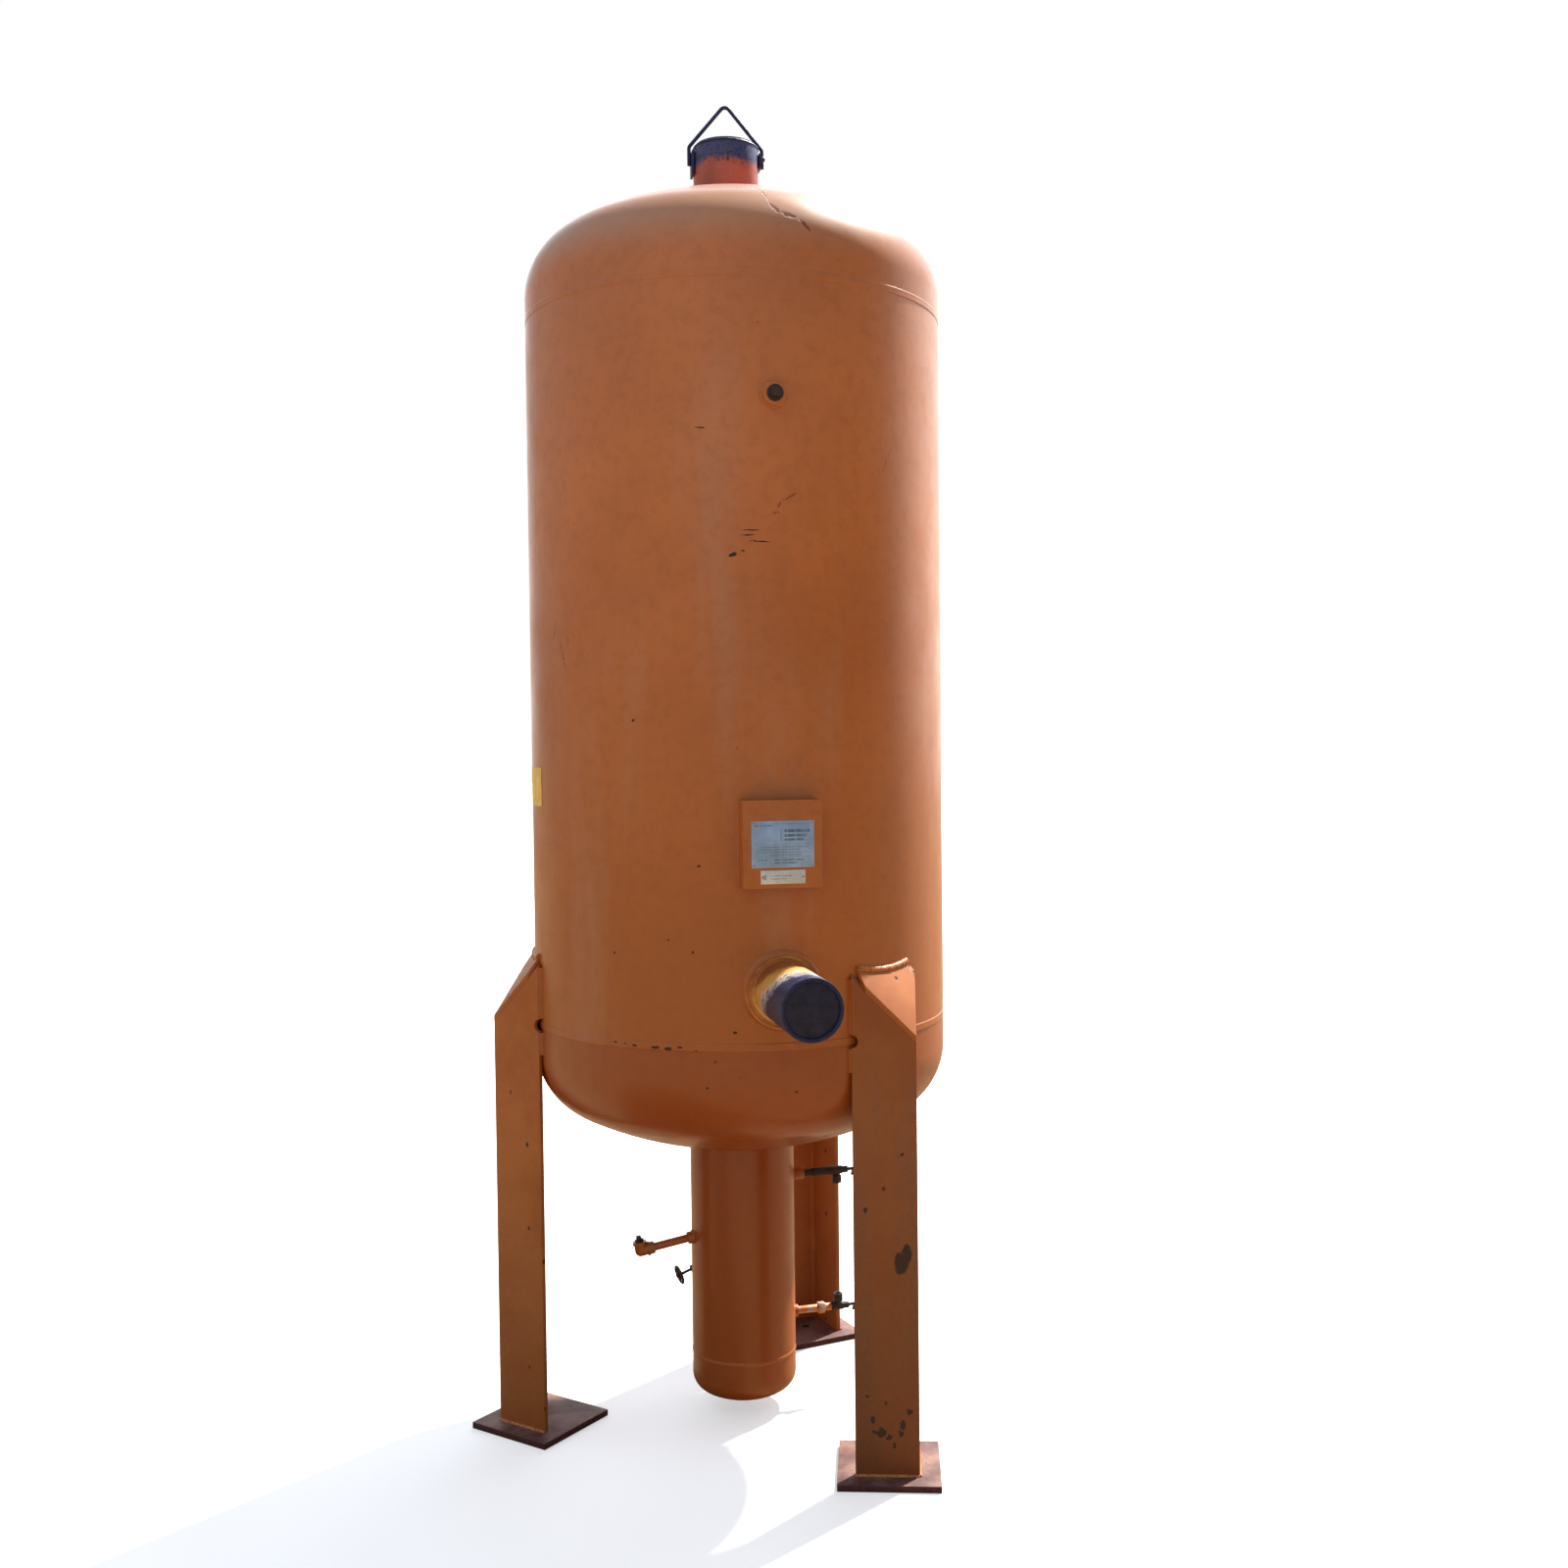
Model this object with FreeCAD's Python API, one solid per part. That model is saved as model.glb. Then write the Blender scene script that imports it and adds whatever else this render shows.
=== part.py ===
"""Vertical pressure vessel on three angle legs, with a drain sump under its bottom head.

Frame: +Z up, the vessel's axis on X = Y = 0, the undersides of the base plates at Z = 0.
Plan angles are in degrees from +X towards +Y. The nozzle and nameplate face -Y.
All lengths are millimetres.
"""
import FreeCAD
import Part
import math
import os

V = FreeCAD.Vector
X_AXIS, Y_AXIS, Z_AXIS = V(1, 0, 0), V(0, 1, 0), V(0, 0, 1)

# ---- vessel
SHELL_RADIUS = 533.4          # outside radius of the cylindrical shell
SHELL_LENGTH = 1781.0         # from seam to seam
SHELL_WALL = 9.5
BOTTOM_SEAM_Z = 1050.0        # height of the bottom seam over the floor
HEAD_CROWN_RATIO = 0.9        # crown and knuckle radii over the diameter, as on any
HEAD_KNUCKLE_RATIO = 0.17     # 2:1 head
TOP_FLANGE = 58.0             # straight flange between a head's curve and its seam
BOTTOM_FLANGE = 78.0
TOP_SEAM_Z = BOTTOM_SEAM_Z + SHELL_LENGTH

# ---- sump
SUMP_RADIUS = 136.5
SUMP_WALL = 9.3
SUMP_SEAM_Z = 152.0           # weld between the sump pipe and its cap
SUMP_CAP_HEIGHT = 127.0

# ---- top nozzle and lifting bail
TOP_NOZZLE_RADIUS = 84.15
TOP_NOZZLE_WALL = 7.1
TOP_NOZZLE_SHIFT = -12.0      # nozzle's centre beside the vessel's axis, along X
TOP_NOZZLE_RISE = 147.0       # cover's top over the crown of the head
TOP_COVER_THICKNESS = 10.0
TOP_COVER_INSET = 6.0         # cover's edge inside the pipe's outer face
BAIL_ANGLE = 8.0              # plan angle of the bail's plane
BAIL_ROD_RADIUS = 4.8
BAIL_APEX_RISE = 108.0        # rod's centre at the apex over the cover
BAIL_SHOULDER_RISE = -5.0
BAIL_LEG_DROP = 48.0          # rod's straight legs, down from the shoulder
BAIL_BEND_RADIUS = 14.0
BAIL_STRAP_WIDTH = 46.0
BAIL_STRAP_THICKNESS = 6.4
BAIL_STRAP_TOP_DROP = 10.0    # strap's top edge below the cover's top
BAIL_STRAP_LENGTHS = {"left": 60.0, "right": 37.0}
STUD_RADIUS = 4.7
STUD_LENGTH = 10.0
STUD_NUT_FLATS = 16.0
STUD_NUT_HEIGHT = 6.0
STUD_DROP = 14.0              # stud below the strap's top edge
STUD_OFFSET = 15.0            # stud beside the rod

# ---- side nozzle
SIDE_NOZZLE_ANGLE = 280.9
SIDE_NOZZLE_RISE = 131.0      # centre over the bottom seam
SIDE_NOZZLE_RADIUS = 70.65
SIDE_NOZZLE_WALL = 6.55
SIDE_NOZZLE_PROJECTION = 286.6   # end of the pipe from the shell's face
SIDE_COVER_THICKNESS = 9.5
SIDE_COVER_RECESS = 3.0       # cover's face inside the pipe's end
COLLAR_RADIUS = 90.0
COLLAR_THICKNESS = 8.0

# ---- upper coupling and its plug
FRONT_LINE_ANGLE = 280.0      # coupling and nameplate share this line
COUPLING_DROP = 278.0         # centre below the top seam
COUPLING_RADIUS = 27.5
COUPLING_PROJECTION = 18.0
PLUG_COLLAR_RADIUS = 19.0
PLUG_COLLAR_LENGTH = 7.0
PLUG_SQUARE = 22.0
PLUG_SQUARE_LENGTH = 13.0

# ---- nameplate bracket
NAMEPLATE_RISE = 474.0        # centre over the bottom seam
BRACKET_WIDTH = 184.0
BRACKET_HEIGHT = 202.0
BRACKET_STANDOFF = 50.0       # outer face from the shell, on the centreline
BRACKET_THICKNESS = 4.8
NAMEPLATE_WIDTH = 146.0
NAMEPLATE_HEIGHT = 107.0
NAMEPLATE_THICKNESS = 1.2
TAG_WIDTH = 104.0
TAG_HEIGHT = 31.0
TAG_THICKNESS = 0.8
TAG_GAP = 6.0                 # tag below the nameplate

# ---- legs
LEG_ANGLES = {"left": 190.0, "right": 310.0, "back": 70.0}
LEG_FLANGE = 152.4
LEG_THICKNESS = 12.7
LEG_HEEL_RISE = -3.0          # heel's top over the bottom seam
LEG_TOE_RISE = 148.0          # toes' top over the bottom seam
LEG_NOTCH_RADIUS = 15.0       # clears the seam's weld
LEG_CAP_THICKNESS = 9.5
LEG_CAP_TRIM = 24.0           # cut off the cap's two tips
BASE_PLATE_SIZE = 246.0
BASE_PLATE_THICKNESS = 16.0
BASE_PLATE_INSET = 103.0      # plate's centre inwards from the angle's heel
ANCHOR_HOLE_RADIUS = 11.0

# ---- fittings on the sump
GAUGE_ANGLE = 15.0
GAUGE_HEIGHTS = {"upper": 600.0, "lower": 231.0}
GAUGE_GLASS_OUT = 126.5       # centreline of the missing glass from the sump's face
GAUGE_GLASS_BORE = 8.1
GAUGE_NUT_FLATS = 23.0
GAUGE_NUT_LENGTH = 20.0
GAUGE_NECK_RADIUS = 9.5
GAUGE_NECK_LENGTH = 14.0
SMALL_COUPLING_RADIUS = 16.0
UPPER_COUPLING_OUT = 31.5     # these ends are from the sump's face too
LOWER_COUPLING_OUT = 11.5
UPPER_NIPPLE_RADIUS = 9.5
LOWER_NIPPLE_RADIUS = 9.8
UNION_FLATS = 27.0
UNION_OUT = 69.5
UNION_LENGTH = 18.0
UPPER_BODY_OUT, LOWER_BODY_OUT = 55.5, 106.5
GAUGE_BODY_RADIUS = 11.0
GAUGE_BODY_PAST_GLASS = 14.0
GAUGE_BONNET_RADIUS = 9.0
GAUGE_BONNET_LENGTH = 16.0
GAUGE_STEM_LENGTH = 15.0
BAR_RADIUS = 3.4
BAR_LENGTH = 52.0
BAR_TILT = 38.0               # of the handle's bar from upright, at rest

DRAIN_PIPE_ANGLE = 195.0
DRAIN_PIPE_Z = 458.0          # pipe's centreline at the sump's face
DRAIN_PIPE_SLOPE = 9.0
DRAIN_PIPE_RADIUS = 10.7
DRAIN_COUPLING_LENGTH = 14.0
DRAIN_UNION_LENGTH = 12.0
DRAIN_UNION_RADIUS = 16.0
DRAIN_ELBOW_DISTANCE = 141.0  # elbow's corner from the sump's face
ELBOW_RADIUS = 15.5
ELBOW_BAND_RADIUS = 18.5
ELBOW_BAND_LENGTH = 7.0
ELBOW_ARM = 24.0              # corner to the end of a socket
ELBOW_PLUG_FLATS = 22.0
ELBOW_PLUG_HEIGHT = 6.0
ELBOW_PLUG_SQUARE = 12.0
ELBOW_PLUG_SQUARE_HEIGHT = 9.0

DRAIN_VALVE_ANGLE = 113.0
DRAIN_VALVE_Z = 330.0
DRAIN_VALVE_OUT = 64.5        # body's centre from the sump's face
DRAIN_STEM_SLOPE = 17.0       # stem points left and down by this
DRAIN_NIPPLE_RADIUS = 13.3
VALVE_BALL_RADIUS = 23.0
VALVE_END_FLATS = 36.0
VALVE_HALF_LENGTH = 34.0
VALVE_HEX_LENGTH = 14.0
VALVE_NECK_RADIUS = 16.0
VALVE_OUTLET_RADIUS = 12.2
VALVE_OUTLET_DEPTH = 16.0
BONNET_FLATS = 32.0
BONNET_START, BONNET_SHOULDER, BONNET_END = 19.0, 34.0, 60.0
BONNET_RADIUS = 11.0
PACKING_NUT_FLATS = 20.0
PACKING_NUT_LENGTH = 14.0
STEM_RADIUS = 4.0
STEM_CLEARANCE = 0.06         # running clearance round every turning stem
STEM_BORE_DEPTH = 12.0
WHEEL_DISTANCE = 110.0        # wheel's middle plane from the valve's centre
WHEEL_RADIUS = 27.0           # to the rim's outer face
WHEEL_RIM_RADIUS = 3.4
WHEEL_HUB_RADIUS = 7.0
WHEEL_HUB_LENGTH = 9.0
WHEEL_SPOKES = 5
SPOKE_RADIUS = 2.2
WHEEL_NUT_FLATS = 10.0
WHEEL_NUT_HEIGHT = 4.5

parts = {}


# ---- shared shapes
def frame_at(angle, z=0.0, slope=0.0):
    """Local frame: +X points outwards at a plan angle, tipped down by slope."""
    turn = FreeCAD.Placement(V(0, 0, z), FreeCAD.Rotation(Z_AXIS, angle))
    tip = FreeCAD.Placement(V(), FreeCAD.Rotation(Y_AXIS, slope))
    return turn.multiply(tip)


def add(name, shape, frame=None):
    """Keep a finished piece, moved from its local frame."""
    if frame is not None:
        shape = moved(shape, frame)
    parts[name] = shape


def moved(shape, frame):
    copy = shape.copy()
    copy.Placement = frame.multiply(copy.Placement)
    return copy


def bar(radius, start, end, direction=X_AXIS, origin=V()):
    """Round bar along a direction, from start to end."""
    unit = V(direction).normalize()
    return Part.makeCylinder(radius, end - start, origin + unit * start, unit)


def tube(radius, bore, start, end, direction=X_AXIS, origin=V()):
    return bar(radius, start, end, direction, origin).cut(
        bar(bore, start - 1, end + 1, direction, origin))


def prism(sides, flats, start, end, direction=X_AXIS, origin=V()):
    """Bar of regular section, given across its flats."""
    reach = flats / 2 / math.cos(math.pi / sides)
    corners = []
    for index in range(sides + 1):
        angle = 2 * math.pi * (index + 0.5) / sides
        corners.append(V(reach * math.cos(angle), reach * math.sin(angle), 0))
    solid = Part.Face(Part.makePolygon(corners)).extrude(V(0, 0, end - start))
    unit = V(direction).normalize()
    turn = FreeCAD.Rotation(Z_AXIS, unit)
    return moved(solid, FreeCAD.Placement(origin + unit * start, turn))


def slab(points, height, z=0.0):
    """Upright prism over a closed outline in the XY plane."""
    corners = [V(x, y, z) for x, y in points]
    return Part.Face(Part.makePolygon(corners + corners[:1])).extrude(V(0, 0, height))


def side_slab(points, width):
    """Prism over an outline in the XZ plane, centred on Y = 0."""
    corners = [V(x, -width / 2, z) for x, z in points]
    return Part.Face(Part.makePolygon(corners + corners[:1])).extrude(V(0, width, 0))


def dome_depth(radius):
    """Depth of a 2:1 head's curve outside, from its crown and knuckle arcs."""
    crown, knuckle = 2 * radius * HEAD_CROWN_RATIO, 2 * radius * HEAD_KNUCKLE_RATIO
    return crown - math.sqrt((crown - knuckle) ** 2 - (radius - knuckle) ** 2)


def filled_dome(radius, flange, inset=0.0):
    """Solid inside a head's surface, or inside its inner face where inset is the wall."""
    crown = 2 * radius * HEAD_CROWN_RATIO
    knuckle = 2 * radius * HEAD_KNUCKLE_RATIO
    crown_centre = V(0, 0, flange + dome_depth(radius) - crown)
    knuckle_centre = V(radius - knuckle, 0, flange)
    way = (knuckle_centre - crown_centre).normalize()
    crown, knuckle, rim = crown - inset, knuckle - inset, radius - inset
    join = knuckle_centre + way * knuckle
    half_knuckle = knuckle_centre + (way + X_AXIS).normalize() * knuckle
    half_crown = crown_centre + (way + Z_AXIS).normalize() * crown
    pole = crown_centre + Z_AXIS * crown
    edges = [
        Part.LineSegment(V(), V(rim, 0, 0)).toShape(),
        Part.LineSegment(V(rim, 0, 0), V(rim, 0, flange)).toShape(),
        Part.Arc(V(rim, 0, flange), half_knuckle, join).toShape(),
        Part.Arc(join, half_crown, pole).toShape(),
        Part.LineSegment(pole, V()).toShape(),
    ]
    return Part.Face(Part.Wire(edges)).revolve(V(), Z_AXIS, 360)


def dish(radius, wall, flange):
    """A 2:1 head with a straight flange, opening downwards, its seam at Z = 0."""
    return filled_dome(radius, flange).cut(filled_dome(radius, flange, wall))


def upright(shape, z):
    shape.translate(V(0, 0, z))
    return shape


def upside_down(shape, z):
    turned = shape.mirror(V(), Z_AXIS)
    turned.translate(V(0, 0, z))
    return turned


def shell_volume():
    return bar(SHELL_RADIUS, BOTTOM_SEAM_Z, TOP_SEAM_Z, Z_AXIS)


# ---- vessel
def build_vessel():
    side_frame = frame_at(SIDE_NOZZLE_ANGLE, BOTTOM_SEAM_Z + SIDE_NOZZLE_RISE)
    side_hole = moved(bar(SIDE_NOZZLE_RADIUS - SIDE_NOZZLE_WALL, 0, 2 * SHELL_RADIUS),
                      side_frame)
    shell = tube(SHELL_RADIUS, SHELL_RADIUS - SHELL_WALL, BOTTOM_SEAM_Z, TOP_SEAM_Z, Z_AXIS)
    add("shell", shell.cut(side_hole))

    head = dish(SHELL_RADIUS, SHELL_WALL, TOP_FLANGE)
    top_hole = bar(TOP_NOZZLE_RADIUS - TOP_NOZZLE_WALL, 0, SHELL_RADIUS, Z_AXIS,
                   V(TOP_NOZZLE_SHIFT, 0, 0))
    add("top_head", upright(head.cut(top_hole), TOP_SEAM_Z))
    head = dish(SHELL_RADIUS, SHELL_WALL, BOTTOM_FLANGE)
    sump_hole = bar(SUMP_RADIUS - SUMP_WALL, 0, SHELL_RADIUS, Z_AXIS)
    add("bottom_head", upside_down(head.cut(sump_hole), BOTTOM_SEAM_Z))


# ---- sump
def build_sump():
    pipe = tube(SUMP_RADIUS, SUMP_RADIUS - SUMP_WALL, SUMP_SEAM_Z, BOTTOM_SEAM_Z, Z_AXIS)
    dome = filled_dome(SHELL_RADIUS, BOTTOM_FLANGE)
    add("sump_pipe", pipe.cut(upside_down(dome, BOTTOM_SEAM_Z)))
    cap = dish(SUMP_RADIUS, SUMP_WALL, SUMP_CAP_HEIGHT - dome_depth(SUMP_RADIUS))
    add("sump_cap", upside_down(cap, SUMP_SEAM_Z))


# ---- top nozzle and bail
def nozzle_frame_at(angle, z=0.0):
    """frame_at, but on the top nozzle's centreline."""
    frame = frame_at(angle, z)
    frame.Base = frame.Base + V(TOP_NOZZLE_SHIFT, 0, 0)
    return frame


def build_top_nozzle():
    centre = V(TOP_NOZZLE_SHIFT, 0, 0)
    crown = TOP_SEAM_Z + TOP_FLANGE + dome_depth(SHELL_RADIUS)
    top = crown + TOP_NOZZLE_RISE
    pipe_top = top - TOP_COVER_THICKNESS
    pipe = tube(TOP_NOZZLE_RADIUS, TOP_NOZZLE_RADIUS - TOP_NOZZLE_WALL,
                TOP_SEAM_Z + TOP_FLANGE, pipe_top, Z_AXIS, centre)
    dome = filled_dome(SHELL_RADIUS, TOP_FLANGE)
    add("top_nozzle", pipe.cut(upright(dome, TOP_SEAM_Z)))
    cover = bar(TOP_NOZZLE_RADIUS - TOP_COVER_INSET, pipe_top, top, Z_AXIS, centre)
    add("top_nozzle_cover", cover)

    strap_top = top - BAIL_STRAP_TOP_DROP - TOP_COVER_THICKNESS
    strap_x = TOP_NOZZLE_RADIUS
    turns = {"left": 180.0, "right": 0.0}
    for side, length in BAIL_STRAP_LENGTHS.items():
        half = BAIL_STRAP_WIDTH / 2
        strap = Part.makeBox(BAIL_STRAP_THICKNESS, BAIL_STRAP_WIDTH, length,
                             V(strap_x, -half, strap_top - length))
        add("bail_strap_" + side, strap, nozzle_frame_at(BAIL_ANGLE + turns[side]))

    bail_frame = nozzle_frame_at(BAIL_ANGLE, top)
    add("lifting_bail", bail_rod(strap_x + BAIL_STRAP_THICKNESS + BAIL_ROD_RADIUS), bail_frame)

    stud_x = strap_x + BAIL_STRAP_THICKNESS
    place = V(0, -STUD_OFFSET, strap_top - STUD_DROP)
    stud = bar(STUD_RADIUS, stud_x, stud_x + STUD_LENGTH, X_AXIS, place)
    nut = prism(6, STUD_NUT_FLATS, stud_x, stud_x + STUD_NUT_HEIGHT, X_AXIS, place)
    add("bail_stud", stud.fuse(nut).removeSplitter(), nozzle_frame_at(BAIL_ANGLE))


def bail_rod(leg_x):
    """Round rod bent to a triangle over two straight legs, Z = 0 at the cover's top."""
    corners = [
        V(-leg_x, 0, BAIL_SHOULDER_RISE - BAIL_LEG_DROP),
        V(-leg_x, 0, BAIL_SHOULDER_RISE),
        V(0, 0, BAIL_APEX_RISE),
        V(leg_x, 0, BAIL_SHOULDER_RISE),
        V(leg_x, 0, BAIL_SHOULDER_RISE - BAIL_LEG_DROP),
    ]
    path = rounded_path(corners, BAIL_BEND_RADIUS)
    section = Part.Wire(Part.makeCircle(BAIL_ROD_RADIUS, corners[0], Z_AXIS))
    return path.makePipeShell([section], True, False)


def rounded_path(corners, radius):
    """Polyline with each inner corner replaced by a tangent arc."""
    edges = []
    last = corners[0]
    for before, corner, after in zip(corners, corners[1:], corners[2:]):
        back = (before - corner).normalize()
        on = (after - corner).normalize()
        half = back.getAngle(on) / 2
        reach = radius / math.tan(half)
        start, end = corner + back * reach, corner + on * reach
        middle_way = (back + on).normalize()
        middle = corner + middle_way * (radius / math.sin(half) - radius)
        edges.append(Part.LineSegment(last, start).toShape())
        edges.append(Part.Arc(start, middle, end).toShape())
        last = end
    edges.append(Part.LineSegment(last, corners[-1]).toShape())
    return Part.Wire(edges)


# ---- side nozzle
def build_side_nozzle():
    frame = frame_at(SIDE_NOZZLE_ANGLE, BOTTOM_SEAM_Z + SIDE_NOZZLE_RISE)
    bore = SIDE_NOZZLE_RADIUS - SIDE_NOZZLE_WALL
    pipe_end = SHELL_RADIUS + SIDE_NOZZLE_PROJECTION
    pipe = moved(tube(SIDE_NOZZLE_RADIUS, bore, SHELL_RADIUS / 2, pipe_end), frame)
    add("side_nozzle", pipe.cut(shell_volume()))
    cover_end = pipe_end - SIDE_COVER_RECESS
    add("side_nozzle_cover", bar(bore, cover_end - SIDE_COVER_THICKNESS, cover_end), frame)
    jacket = bar(SHELL_RADIUS + COLLAR_THICKNESS, BOTTOM_SEAM_Z, TOP_SEAM_Z, Z_AXIS)
    disc = moved(tube(COLLAR_RADIUS, SIDE_NOZZLE_RADIUS, SHELL_RADIUS / 2, pipe_end), frame)
    add("side_nozzle_collar", disc.common(jacket).cut(shell_volume()))


# ---- upper coupling
def build_coupling():
    frame = frame_at(FRONT_LINE_ANGLE, TOP_SEAM_Z - COUPLING_DROP)
    face = SHELL_RADIUS + COUPLING_PROJECTION
    coupling = moved(bar(COUPLING_RADIUS, SHELL_RADIUS / 2, face), frame)
    add("upper_coupling", coupling.cut(shell_volume()))
    collar_end = face + PLUG_COLLAR_LENGTH
    collar = bar(PLUG_COLLAR_RADIUS, face, collar_end)
    square = prism(4, PLUG_SQUARE, collar_end, collar_end + PLUG_SQUARE_LENGTH)
    add("upper_plug", collar.fuse(square), frame)


# ---- nameplate
def build_nameplate():
    frame = frame_at(FRONT_LINE_ANGLE, BOTTOM_SEAM_Z + NAMEPLATE_RISE)
    face = SHELL_RADIUS + BRACKET_STANDOFF
    half = BRACKET_WIDTH / 2
    low = -BRACKET_HEIGHT / 2
    outer = Part.makeBox(SHELL_RADIUS, BRACKET_WIDTH, BRACKET_HEIGHT,
                         V(face - SHELL_RADIUS, -half, low))
    inner = Part.makeBox(SHELL_RADIUS, BRACKET_WIDTH - 2 * BRACKET_THICKNESS,
                         BRACKET_HEIGHT + 2,
                         V(face - BRACKET_THICKNESS - SHELL_RADIUS,
                           BRACKET_THICKNESS - half, low - 1))
    bracket = moved(outer.cut(inner), frame)
    add("nameplate_bracket", bracket.cut(shell_volume()))
    plate = Part.makeBox(NAMEPLATE_THICKNESS, NAMEPLATE_WIDTH, NAMEPLATE_HEIGHT,
                         V(face, -NAMEPLATE_WIDTH / 2, -NAMEPLATE_HEIGHT / 2))
    add("nameplate", plate, frame)
    tag_low = -NAMEPLATE_HEIGHT / 2 - TAG_GAP - TAG_HEIGHT
    tag = Part.makeBox(TAG_THICKNESS, TAG_WIDTH, TAG_HEIGHT, V(face, -TAG_WIDTH / 2, tag_low))
    add("data_tag", tag, frame)


# ---- legs
def leg_heel_radius():
    """Heel's distance from the axis, with the toes' inner corners on the shell."""
    toe_side = (LEG_FLANGE - LEG_THICKNESS) / math.sqrt(2)
    toe_out = math.sqrt(SHELL_RADIUS ** 2 - toe_side ** 2)
    return toe_out + (LEG_FLANGE + LEG_THICKNESS) / math.sqrt(2)


def angle_outline(heel):
    """Plan outline of the angle, its heel outwards and its flanges at 45 degrees."""
    diagonal = 1 / math.sqrt(2)

    def point(along_left, along_right):
        return (heel - (along_left + along_right) * diagonal,
                (along_left - along_right) * diagonal)

    flange, thickness = LEG_FLANGE, LEG_THICKNESS
    return [point(0, 0), point(flange, 0), point(flange, thickness),
            point(thickness, thickness), point(thickness, flange), point(0, flange)]


def slope_band(heel, lift, depth):
    """Prism under the sloping top of a leg, lifted by an amount and this deep."""
    toe = heel - LEG_FLANGE / math.sqrt(2)
    steepness = (LEG_TOE_RISE - LEG_HEEL_RISE) / (heel - toe)
    near, far = heel - LEG_FLANGE, heel + LEG_FLANGE

    def top(x):
        return BOTTOM_SEAM_Z + LEG_HEEL_RISE + (heel - x) * steepness + lift

    outline = [(far, top(far) - depth), (near, top(near) - depth), (near, top(near)),
               (far, top(far))]
    return side_slab(outline, 2 * LEG_FLANGE)


def build_leg(side, angle):
    frame = frame_at(angle)
    heel = leg_heel_radius()
    tall = TOP_SEAM_Z
    leg = slab(angle_outline(heel), tall, BASE_PLATE_THICKNESS)
    leg = leg.common(slope_band(heel, 0, tall))
    diagonal = 1 / math.sqrt(2)
    for way in (1, -1):
        toe = V(heel - LEG_FLANGE * diagonal, way * LEG_FLANGE * diagonal, BOTTOM_SEAM_Z)
        across = V(-diagonal, -way * diagonal, 0)
        leg = leg.cut(bar(LEG_NOTCH_RADIUS, -LEG_THICKNESS, 2 * LEG_THICKNESS, across, toe))
    add("leg_" + side, leg, frame)

    reach = LEG_FLANGE * diagonal
    trim = LEG_CAP_TRIM
    inner = heel - reach - LEG_THICKNESS * 2
    outline = [(heel, 0), (heel - reach + trim, reach - trim), (heel - reach, reach - trim),
               (inner, reach - trim), (inner, trim - reach), (heel - reach, trim - reach),
               (heel - reach + trim, trim - reach)]
    steepness = (LEG_TOE_RISE - LEG_HEEL_RISE) / reach
    rise = LEG_CAP_THICKNESS * math.sqrt(1 + steepness ** 2)
    cap = slab(outline, tall).common(slope_band(heel, rise, rise))
    add("leg_cap_" + side, moved(cap, frame).cut(shell_volume()))

    half = BASE_PLATE_SIZE / 2
    plate = Part.makeBox(BASE_PLATE_SIZE, BASE_PLATE_SIZE, BASE_PLATE_THICKNESS,
                         V(-half, -half, 0))
    hole = bar(ANCHOR_HOLE_RADIUS, -1, BASE_PLATE_THICKNESS + 1, Z_AXIS)
    place = FreeCAD.Placement(V(heel - BASE_PLATE_INSET, 0, 0), FreeCAD.Rotation(Z_AXIS, 45))
    add("base_plate_" + side, moved(plate.cut(hole), place), frame)


# ---- level gauge valves
def sump_volume():
    return bar(SUMP_RADIUS, 0, BOTTOM_SEAM_Z, Z_AXIS)


def build_gauge_valve(level, body_start, glass_way):
    """Body, glass nut and handle, shared by both valves; glass_way is +1 up or -1 down."""
    frame = frame_at(GAUGE_ANGLE, GAUGE_HEIGHTS[level])
    glass_reach = SUMP_RADIUS + GAUGE_GLASS_OUT
    body_end = glass_reach + GAUGE_BODY_PAST_GLASS
    bonnet_end = body_end + GAUGE_BONNET_LENGTH
    body = bar(GAUGE_BODY_RADIUS, body_start, body_end)
    bonnet = bar(GAUGE_BONNET_RADIUS, body_end, bonnet_end)
    way = V(0, 0, glass_way)
    glass_line = V(glass_reach, 0, 0)
    neck = bar(GAUGE_NECK_RADIUS, 0, GAUGE_NECK_LENGTH, way, glass_line)
    stem_bore = bar(STEM_RADIUS + STEM_CLEARANCE, bonnet_end - STEM_BORE_DEPTH, bonnet_end + 1)
    add(level + "_gauge_valve", body.fuse([bonnet, neck]).cut(stem_bore), frame)

    nut_end = GAUGE_NECK_LENGTH + GAUGE_NUT_LENGTH
    nut = prism(6, GAUGE_NUT_FLATS, GAUGE_NECK_LENGTH, nut_end, way, glass_line)
    socket = bar(GAUGE_GLASS_BORE, GAUGE_NECK_LENGTH, nut_end + 1, way, glass_line)
    add(level + "_glass_nut", nut.cut(socket), frame)

    stem_end = bonnet_end + GAUGE_STEM_LENGTH
    stem = bar(STEM_RADIUS, bonnet_end - STEM_BORE_DEPTH + 1, stem_end + BAR_RADIUS)
    tilt = math.radians(BAR_TILT)
    bar_way = V(0, -math.sin(tilt), math.cos(tilt))
    cross_bar = bar(BAR_RADIUS, -BAR_LENGTH / 2, BAR_LENGTH / 2, bar_way,
                    V(stem_end + BAR_RADIUS, 0, 0))
    add(level + "_gauge_handle", stem.fuse(cross_bar), frame)


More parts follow.
